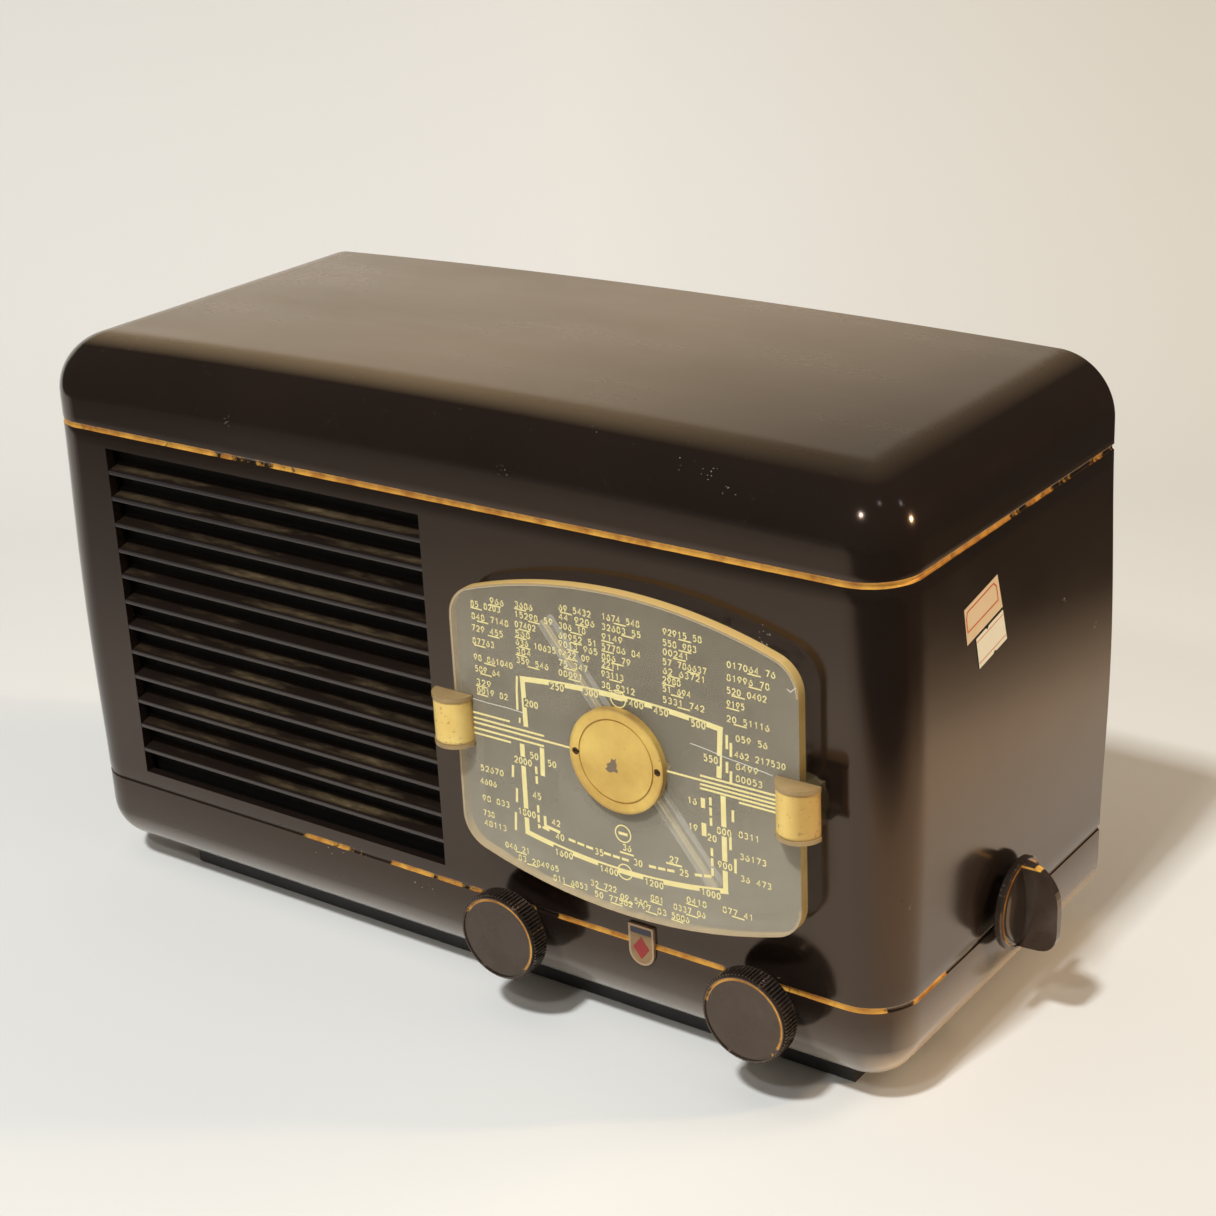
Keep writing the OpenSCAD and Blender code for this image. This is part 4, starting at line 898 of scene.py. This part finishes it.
def hazed_plate(name, low, high):
    """Clear plate gone dull: a greyish film, browner and thinner near the top; its alpha is low to high."""
    t = Tree(name)
    z = t.span(t.axis("Z", DIAL_Z), -60, 60)
    film = t.mix(z, (0.74, 0.675, 0.52), (0.58, 0.50, 0.36))
    film = t.lay(film, (0.28, 0.23, 0.15), t.patches(0.4, 0.72, 22, 5, 0.6, seed=4), 0.3)
    around_disc = t.span(t.radius("X", "Z", (DIAL_X, DIAL_Z)), 19, 30, 0.80, 1.0, smooth=True)
    return t.set(Base_Color=film, Roughness=0.16, Alpha=t.both(t.span(z, 0, 1, low, high), around_disc),
                 IOR=CLEAR_IOR)


def plate_edge():
    t = Tree("dial_edge")
    n = t.patches(0.3, 0.7, 90, 4)
    return t.set(Base_Color=t.mix(n, (0.78, 0.49, 0.15), (0.95, 0.66, 0.26)), Roughness=0.25, IOR=CLEAR_IOR)


def rim_finish():
    """Polished edge: a pale line on the face, a painted highlight where the rounded edge catches light,
    fainter low down, and amber on the rounding.
    """
    t = Tree("dial_rim")
    out = t.paint()
    amber = t.span(out, -0.6, -0.3)
    # Painted highlight: a pale line just inside the rounded edge, fainter low down.
    pale = t.both(t.span(out, -1.0, -0.85), t.span(out, -0.5, -0.65),
                  t.span(t.axis("Z", DIAL_Z), -56, -30, 0.12, 0.5))
    return t.set(Base_Color=t.mix(amber, (0.95, 0.78, 0.48), (0.82, 0.54, 0.19)), Roughness=0.2,
                 Alpha=t.math("MAXIMUM", pale, t.both(amber, 0.92)), IOR=CLEAR_IOR)


def disc_finish():
    """Painted disc: warm yellow, browner at its edge, darker in the ring groove as painted shade, small dark
    specks.
    """
    t = Tree("disc_cream")
    r = t.radius("X", "Z", (DIAL_X, DIAL_Z))
    n = t.patches(0.3, 0.75, 45, 5, 0.6)
    base = t.mix(n, tone(240, 203, 106), tone(198, 152, 70))
    # Painted shade in the ring groove.
    base = t.lay(base, (0.33, 0.20, 0.06), t.ring(r, 14.9, 15.7, 0.25), 0.22)
    base = t.lay(base, (0.26, 0.145, 0.05), t.span(r, 18.2, 19.3), t.patches(0.3, 0.6, 60, 4, seed=2), 0.8)
    base = t.lay(base, (0.18, 0.11, 0.05), t.patches(0.68, 0.74, 240, 3, seed=7), 0.6)
    t.bump(t.noise(300, 3), 0.05)
    return t.set(Base_Color=base, Roughness=t.span(n, 0, 1, 0.34, 0.46))


def cover_finish(name, seed, brown_from, brown_to):
    """Yellowed holder cover: dirt where it meets the plate and at its ends, specks, a brown right part."""
    t = Tree(name)
    n = t.patches(0.3, 0.75, 55, 5, 0.6, seed=seed)
    base = t.mix(n, tone(255, 226, 136), tone(236, 190, 92))
    base = t.lay(base, (0.20, 0.115, 0.045), t.span(t.axis("Y", PLATE_FRONT), -1.6, -0.2),
                 t.patches(0.3, 0.62, 120, 4, seed=3), 0.85)
    base = t.lay(base, (0.24, 0.14, 0.05), t.span(t.math("ABSOLUTE", t.axis("Z", DIAL_Z)), 7.3, 8.1), 0.7)
    base = t.lay(base, (0.30, 0.18, 0.07), t.patches(0.62, 0.70, 700, 2, seed=6), 0.55)
    base = t.lay(base, (0.42, 0.22, 0.06), t.span(t.axis("X", DIAL_X), brown_from, brown_to), 0.55)
    return t.set(Base_Color=base, Roughness=t.span(n, 0, 1, 0.30, 0.42))


def holder_finish():
    """Clear carrier, with its front lips denser and more amber."""
    t = Tree("holder_amber")
    lip = t.span(t.axis("Y"), -90.2, -89.6, 1.0, 0.0)
    amber = t.mix(t.patches(0.3, 0.7, 80, 4), (0.40, 0.26, 0.11), (0.56, 0.39, 0.18))
    return t.set(Base_Color=t.mix(lip, (0.17, 0.12, 0.06), amber), Roughness=0.18,
                 Alpha=t.blend(lip, 0.5, 0.78), IOR=CLEAR_IOR)


def pointer_finish():
    """Clear bar: two pale bands along its sides and a cream line left of its middle."""
    t = Tree("pointer_clear")
    u = t.slant(t.axis("X", DIAL_X), 0.780, t.axis("Z", DIAL_Z), 0.625)
    bands = t.math("ADD", t.ring(u, 2.4, 4.1, 0.3), t.ring(u, -4.1, -2.9, 0.25))
    line = t.ring(u, -1.5, -0.3)
    color = t.lay(t.mix(bands, (0.80, 0.76, 0.68), (1.0, 0.97, 0.90)), (1.0, 0.84, 0.48), line)
    return t.set(Base_Color=color, Roughness=0.22, Alpha=t.math("MAXIMUM", t.blend(bands, 0.16, 0.55), line),
                 IOR=CLEAR_IOR)


def badge_finish():
    """Stamped badge: cream raised edge, orange brass ground."""
    t = Tree("badge_brass")
    across = t.math("ABSOLUTE", t.axis("X", DIAL_X))
    edge = t.math("MAXIMUM", t.span(across, 4.45, 4.65), t.span(t.axis("Z"), 48.0, 48.2))
    below = t.both(t.span(t.radius("X", "Z", (DIAL_X, 38.5)), 4.4, 4.6), t.span(t.axis("Z"), 38.6, 38.4))
    ground = t.mix(t.patches(0.3, 0.7, 150, 4), (0.26, 0.16, 0.075), (0.36, 0.22, 0.10))
    base = t.mix(t.math("MAXIMUM", edge, below), ground, (0.47, 0.32, 0.19))
    return t.set(Base_Color=base, Roughness=0.4, Metallic=0.35)


def paper_finish(name, color, shade):
    t = Tree(name)
    return t.set(Base_Color=t.mix(t.patches(0.3, 0.75, 90, 5, 0.6), color, shade), Roughness=0.75)


def woven():
    """Dark speaker cloth: fine checks of two threads."""
    t = Tree("grille_cloth")
    wave = t.both(*(t.math("SINE", t.both(t.axis(axis), 6.3)) for axis in "XZ"))
    base = t.mix(t.span(wave, -0.4, 0.4), (0.006, 0.005, 0.004), (0.020, 0.017, 0.013))
    return t.set(Base_Color=base, Roughness=0.95)


def board(name, dark, light):
    """Pressed fibre board: long fine fibres across and a few stains."""
    t = Tree(name)
    fibre = t.patches(0.3, 0.7, 240, 5, 0.7, (0.15, 1, 1))
    base = t.lay(t.mix(fibre, dark, light), [c * 0.45 for c in dark],
                 t.patches(0.5, 0.75, 12, 5, 0.6, seed=5), 0.45)
    t.bump(fibre, 0.12)
    return t.set(Base_Color=base, Roughness=0.85)


def valve_finish(name, base_top, silver):
    """Valve: dark moulded base, clear glass above it, silvery film inside the top."""
    t = Tree(name)
    z = t.axis("Z")
    foot = t.span(z, base_top + 0.3, base_top - 0.3)
    top = t.span(z, silver - 3, silver + 2)
    color = t.lay(t.mix(top, (0.62, 0.66, 0.66), (0.36, 0.37, 0.38)), (0.022, 0.018, 0.015), foot)
    return t.set(Base_Color=color, Roughness=t.blend(foot, 0.06, 0.42), Metallic=t.both(top, 0.8),
                 Alpha=t.math("MAXIMUM", t.blend(top, 0.22, 0.9), foot))


def aged_metal(name, color, rust):
    """Plated sheet: fine grain with dull brownish bloom in patches."""
    t = Tree(name)
    bloom = t.patches(0.48, 0.72, 38, 6, 0.65, seed=3)
    base = t.mix(t.patches(0.3, 0.7, 300, 3), [c * 0.86 for c in color], color)
    return t.set(Base_Color=t.lay(base, rust, bloom, 0.7), Roughness=t.blend(bloom, 0.36, 0.62),
                 Metallic=t.span(bloom, 0, 1, 1.0, 0.55))


def twisted():
    """Cord of two threads: slanting stripes."""
    t = Tree("drive_cord")
    twist = t.math("SINE", t.both(t.math("ADD", t.axis("X"), t.axis("Z")), 5.0))
    return t.set(Base_Color=t.mix(t.span(twist, -0.6, 0.6), (0.40, 0.35, 0.25), (0.56, 0.50, 0.38)),
                 Roughness=0.85)


FRONT_RING, SIDE_RING = (14.55, 15.55), (15.15, 16.0)
BAKELITE, LOUVRES, CLOTH = moulded(), louvred(), woven()
WOOD = board("baffle_wood", (0.17, 0.11, 0.06), (0.27, 0.18, 0.10))
# Each finish and the nodes that wear it.
DRESSED = (
    (plain("runner_black", (0.020, 0.017, 0.015), 0.6, grain=90, rise=0.1), "front_runner rear_runner"),
    (badge_finish(), "badge"), (CLOTH, "grille_cloth"), (BAKELITE, "cabinet"),
    (board("cover_board", (0.105, 0.062, 0.034), (0.165, 0.10, 0.056)), "rear_cover"),
    (aged_metal("screw_steel", (0.50, 0.49, 0.47), (0.20, 0.13, 0.08)),
     "baffle_screws speaker_bolts chassis_bolts cover_screws"),
    (aged_metal("spindle_steel", (0.55, 0.55, 0.55), (0.30, 0.26, 0.20)),
     "pointer_shaft tuning_spindle volume_spindle band_spindle"),
    (plain("basket_grey", (0.10, 0.105, 0.11), 0.42, grain=40), "speaker_frame"),
    (plain("cone_paper", (0.018, 0.016, 0.014), 0.92, grain=150, rise=0.3), "speaker_cone"),
    (plain("magnet_iron", (0.050, 0.053, 0.057), 0.5, 0.4, grain=50), "speaker_magnet"),
    (disc_finish(), "dial_disc"),
    (plain("disc_screw", (0.085, 0.045, 0.022), 0.35, 0.7, grain=200), "disc_screws"),
    (cover_finish("left_cover", 1, -66.5, -62.5), "left_holder_cover"),
    (cover_finish("right_cover", 2, 70.0, 75.0), "right_holder_cover"),
    (holder_finish(), "left_holder right_holder"), (pointer_finish(), "pointer"),
    (aged_metal("brass", (0.60, 0.41, 0.16), (0.27, 0.17, 0.07)), "holder_nuts pointer_bush tuning_bush"),
    (aged_metal("lamp_tin", (0.60, 0.60, 0.58), (0.34, 0.28, 0.20)), "lamp_shells"),
    (plain("bulb_glass", (0.80, 0.76, 0.66), 0.08, grain=30, spread=0.04, Alpha=0.45),
     "left_lamp right_lamp"),
    (plain("drum_plastic", (0.42, 0.34, 0.19), 0.5, grain=35), "drive_drum"),
    (twisted(), "drive_cord"),
    (plain("plate_aluminium", (0.66, 0.67, 0.68), 0.32, 1.0, grain=120, spread=0.08),
     "capacitor_frame capacitor_stator capacitor_rotor"),
    (aged_metal("chassis_steel", (0.52, 0.51, 0.48), (0.24, 0.20, 0.14)), "chassis capacitor_bracket"),
    (plain("control_case", (0.14, 0.12, 0.10), 0.45, 0.3, grain=45), "volume_control"),
    (board("wafer_board", (0.11, 0.055, 0.024), (0.17, 0.09, 0.042)), "band_switch"),
    (plain("transformer_iron", (0.055, 0.047, 0.037), 0.38, grain=70, spread=0.3),
     "mains_transformer output_transformer"),
    (plain("can_aluminium", (0.60, 0.60, 0.59), 0.34, 1.0, grain=30, spread=0.1),
     "first_if_can second_if_can"),
    (plain("smoothing_can", (0.35, 0.35, 0.34), 0.42, 0.8, grain=26), "smoothing_capacitor"),
    (plain("socket_black", (0.014, 0.013, 0.012), 0.4, grain=80), "valve_sockets mains_inlet"),
    (plain("socket_brown", (0.045, 0.026, 0.016), 0.38, grain=60), "aerial_sockets"),
    (knob_finish("tuning_resin", "XZ", (TUNING_X, KNOB_Z), FRONT_RING, "Y", KNOB_FACE, (0.45, 0.89)),
     "tuning_knob"),
    (knob_finish("volume_resin", "XZ", (VOLUME_X, KNOB_Z), FRONT_RING, "Y", KNOB_FACE, (0.60, 0.80)),
     "volume_knob"),
    (knob_finish("band_resin", "YZ", (BAND_Y, BAND_Z), SIDE_RING, "X", BAND_FACE, (-0.75, 0.66)),
     "band_knob"),
    (valve_finish("small_valve", 84, 128), "mixer_valve if_valve audio_valve"),
    (valve_finish("large_valve", 86, 130), "output_valve rectifier_valve"),
)


def dress(node, *looks):
    mesh = NODES[node].data
    mesh.materials.clear()
    for look in looks:
        mesh.materials.append(look)
    return mesh


def facing(mesh):
    """How far each face of a mesh looks backwards: the Y part of its normal."""
    out = np.empty(3 * len(mesh.polygons))
    mesh.polygons.foreach_get("normal", out)
    return out[1::3]


def choose(mesh, numbers):
    """Gives each face the look of its number."""
    mesh.polygons.foreach_set("material_index", numbers.astype(np.int32))


for finish, nodes in DRESSED:
    for node in nodes.split():
        dress(node, finish)
baffle = dress("speaker_baffle", WOOD, CLOTH)
choose(baffle, facing(baffle) < -0.5)
plate = dress("dial_plate", hazed_plate("dial_haze", 0.44, 0.36), plate_edge(),
              hazed_plate("dial_haze_back", 0.10, 0.08))
choose(plate, np.where(facing(plate) < -0.7, 0, np.where(facing(plate) > 0.7, 2, 1)))

# New pieces
INK = plain("dial_ink", tone(255, 236, 166), 0.6, grain=300, spread=0.05)
cabinet().make("cabinet_skin", [BAKELITE, LOUVRES], "receiver", "bakelite", hides=("cabinet",))
dial_rim().make("dial_plate_rim", [rim_finish()], "receiver", "dial_clear", smooth=60)
print_dial().make("dial_print", [INK], "receiver", "dial_clear", merge=False, thick=0.04)
cracks().make("dial_cracks", [plain("crack_white", (0.80, 0.76, 0.66), 0.4, spread=0.05)],
              "receiver", "dial_clear", merge=False, thick=0.04)
chipped_spot().make("disc_chip", [plain("chip_grey", tone(132, 114, 92), 0.6)], "receiver",
                    "cream_plastic", merge=False, thick=0.03)
labels().make("side_labels", [paper_finish("label_cream", tone(238, 214, 178), tone(230, 204, 164)),
                              paper_finish("label_white", tone(250, 246, 226), tone(242, 236, 212)),
                              plain("label_orange", tone(206, 104, 52), 0.7)],
              "receiver", "cone_paper", merge=False, thick=0.05)
badge_enamel().make("badge_enamel", [plain("enamel_red", tone(150, 38, 36), 0.4, spread=0.25),
                                     plain("enamel_blue", tone(62, 56, 74), 0.35)],
                    "receiver", "brass", smooth=30)
wear_marks().make("wear_marks", [plain("wear_pale", (0.42, 0.38, 0.31), 0.7, grain=500, spread=0.3)],
                  "receiver", "bakelite", merge=False)


# Studio
ACROSS = Vector((0.8165, 0.5773, 0))
AWAY = Vector((-0.5773, 0.8165, 0))


def spot(across, away, height):
    """A place in the studio: metres to the right of the middle, behind it and above the floor."""
    return ACROSS * across + AWAY * away + Vector((0, 0, height))


def sweep_mesh():
    """Paper sweep: a floor, a quarter circle and a low wall, a little wider at the back."""
    near, bend_start, radius, top = -0.85, 0.45, 0.5, 0.57
    left, right, widening, columns = -1.1, 0.57, 0.15, 9
    line = [(part, near + (bend_start - near) * part, 0.0) for part in np.linspace(0, 1, 14)]
    line += [(1.0, bend_start + radius * math.sin(turn), radius * (1 - math.cos(turn)))
             for turn in np.linspace(0, math.pi / 2, 24)[1:]]
    line.append((1.0, bend_start + radius, top))
    points = [spot(left + (right + widening * part ** 3 - left) * u, away, height)
              for part, away, height in line for u in np.linspace(0, 1, columns)]
    faces = [(i + j, i + j + 1, i + j + columns + 1, i + j + columns)
             for i in range(0, len(points) - columns, columns) for j in range(columns - 1)]
    mesh = bpy.data.meshes.new("studio_sweep")
    mesh.from_pydata(points, [], faces)
    mesh.shade_smooth()
    return mesh


def sweep_paper():
    """Pale paper, with painted shade that makes it duller up, behind and at the right. In gloss it fades to
    dark far from the middle, at the right end and at the near right corner, and turns warm at the right: a
    painted reflection of a dim room and of warm light. From behind the camera sees through it."""
    t = Tree("studio_paper")
    black = (0.0, 0.0, 0.0)
    plain_paper = t.mix(t.noise(3, 3), (0.80, 0.785, 0.745), (0.82, 0.805, 0.77))
    far = t.radius("X", "Y", (0, 0))
    away = t.slant(t.axis("X"), AWAY.x, t.axis("Y"), AWAY.y)
    across = t.slant(t.axis("X"), ACROSS.x, t.axis("Y"), ACROSS.y)
    # Painted reflection: what gloss sees of the paper fades to dark far from the middle, at the right end
    # and at the near right corner.
    corner = t.math("MULTIPLY_ADD", across, -0.32, t.math("ADD", away, 400.0))
    fade = t.both(t.span(far, 360.0, 540.0, 1.0, 0.5), t.span(far, 540.0, 860.0, 1.0, 0.25))
    fade = t.both(t.blend(t.span(away, 0.0, 200.0), fade, 1.0), t.span(across, 390.0, 540.0, 1.0, 0.08),
                  t.span(corner, -115.0, 5.0, 0.05, 1.0))
    # Painted reflection of warm light: the paper seen in gloss turns warm at the right.
    mirrored = t.mix(t.span(t.axis("X"), 200.0, 300.0), plain_paper, (1.0, 0.80, 0.58))
    mirrored = t.mix(fade, black, mirrored)
    # Painted shade: the paper darkens upwards, backwards and to the right.
    dull = t.both(t.span(t.axis("Z"), 0.0, 420.0, 1.0, 0.91), t.span(away, 50.0, 450.0, 1.0, 0.90),
                  t.span(across, 0.0, 500.0, 1.0, 0.93))
    # Painted shade: darker, warmer paper towards the right.
    paper = t.mix(t.span(across, 0.0, 420.0), plain_paper, (0.715, 0.695, 0.635))
    ray = t.add("ShaderNodeLightPath")
    color = t.mix(ray.outputs["Is Glossy Ray"], t.mix(dull, black, paper), mirrored)
    t.set(Base_Color=color, Roughness=0.9, Specular_IOR_Level=0.1)
    behind = t.both(t.add("ShaderNodeNewGeometry").outputs["Backfacing"], ray.outputs["Is Camera Ray"])
    look = t.add("ShaderNodeMixShader")
    clear = t.add("ShaderNodeBsdfTransparent")
    for value, socket in zip((behind, t.shader.outputs[0], clear.outputs[0]), look.inputs):
        t.put(value, socket)
    t.put(look.outputs[0], t.tree.nodes["Material Output"].inputs["Surface"])
    return t.material


def sweep():
    made = bpy.data.objects.new("studio_sweep", sweep_mesh())
    made.data.materials.append(sweep_paper())
    scene.collection.objects.link(made)


def lamp(name, place, target, size, energy, color, mirrored):
    data = bpy.data.lights.new(name, "AREA")
    data.shape = "RECTANGLE"
    data.size = data.size_y = size
    data.energy = energy
    data.color = color
    made = bpy.data.objects.new(name, data)
    made.location = place
    made.rotation_mode = "QUATERNION"
    made.rotation_quaternion = (Vector(target) - Vector(place)).to_track_quat("-Z", "Y")
    made.visible_glossy = mirrored
    scene.collection.objects.link(made)


def from_corner(x, y, z):
    """A lamp's place: 1.7 m from the cabinet's top right front corner, in a direction."""
    return CORNER + Vector((x, y, z)) * 1.7


CORNER = Vector((0.167, -0.068, 0.217))
LOW_MIDDLE, MIDDLE = (0, 0, 0.05), (0, 0, 0.1)
WINDOW_BLUE = (0.68, 0.8, 1.0)
# Name, place, target, width in metres, watts, colour, and whether gloss shows the lamp.
LAMPS = (
    ("main", Vector((0.01, -0.52, 0.85)) * 5.0, LOW_MIDDLE, 0.38, 185, (0.93, 0.97, 1.0), False),
    ("ceiling", spot(-0.25, -0.15, 1.9), MIDDLE, 1.3, 5.5, (1.0, 0.93, 0.83), False),
    ("evening", Vector((0.62, 0.47, 0.63)) * 1.8, MIDDLE, 0.5, 6, (1.0, 0.78, 0.55), False),
    ("glint", from_corner(0.069, -0.73, 0.68), CORNER, 0.13, 4.5, (1.0, 1.0, 1.0), True),
    ("warm", from_corner(0.815, 0.535, 0.224), MIDDLE, 0.10, 11, (1.0, 0.72, 0.45), True),
    ("window_1", from_corner(0.442, -0.187, 0.877), CORNER, 0.14, 0.25, WINDOW_BLUE, True),
    ("window_2", from_corner(0.678, 0.411, 0.61), CORNER, 0.14, 0.25, WINDOW_BLUE, True),
)


def room_light(plain_strength, gloss_strength, color):
    """Dim light from all round, weaker where gloss shows it."""
    world = bpy.data.worlds.new("studio")
    scene.world = world
    world.use_nodes = True
    tree = world.node_tree
    back = tree.nodes["Background"]
    back.inputs["Color"].default_value = (*color, 1)
    rays = tree.nodes.new("ShaderNodeLightPath")
    strength = tree.nodes.new("ShaderNodeMapRange")
    strength.inputs["To Min"].default_value = plain_strength
    strength.inputs["To Max"].default_value = gloss_strength
    tree.links.new(rays.outputs["Is Glossy Ray"], strength.inputs["Value"])
    tree.links.new(strength.outputs[0], back.inputs["Strength"])


sweep()
for row in LAMPS:
    lamp(*row)
room_light(0.09, 0.05, (1.0, 0.93, 0.83))
scene.view_settings.view_transform = "Standard"

camera = bpy.data.cameras.new("camera")
camera.sensor_width = 36
camera.lens = 69.83
camera.clip_start, camera.clip_end = 0.05, 20
view = bpy.data.objects.new("camera", camera)
view.location = (0.51609 - 0.0093, -0.67182 + 0.0086, 0.46799)
view.rotation_mode = "QUATERNION"
view.rotation_quaternion = Quaternion((0.794665, 0.525545, 0.186276, 0.240022))
scene.collection.objects.link(view)
scene.camera = view
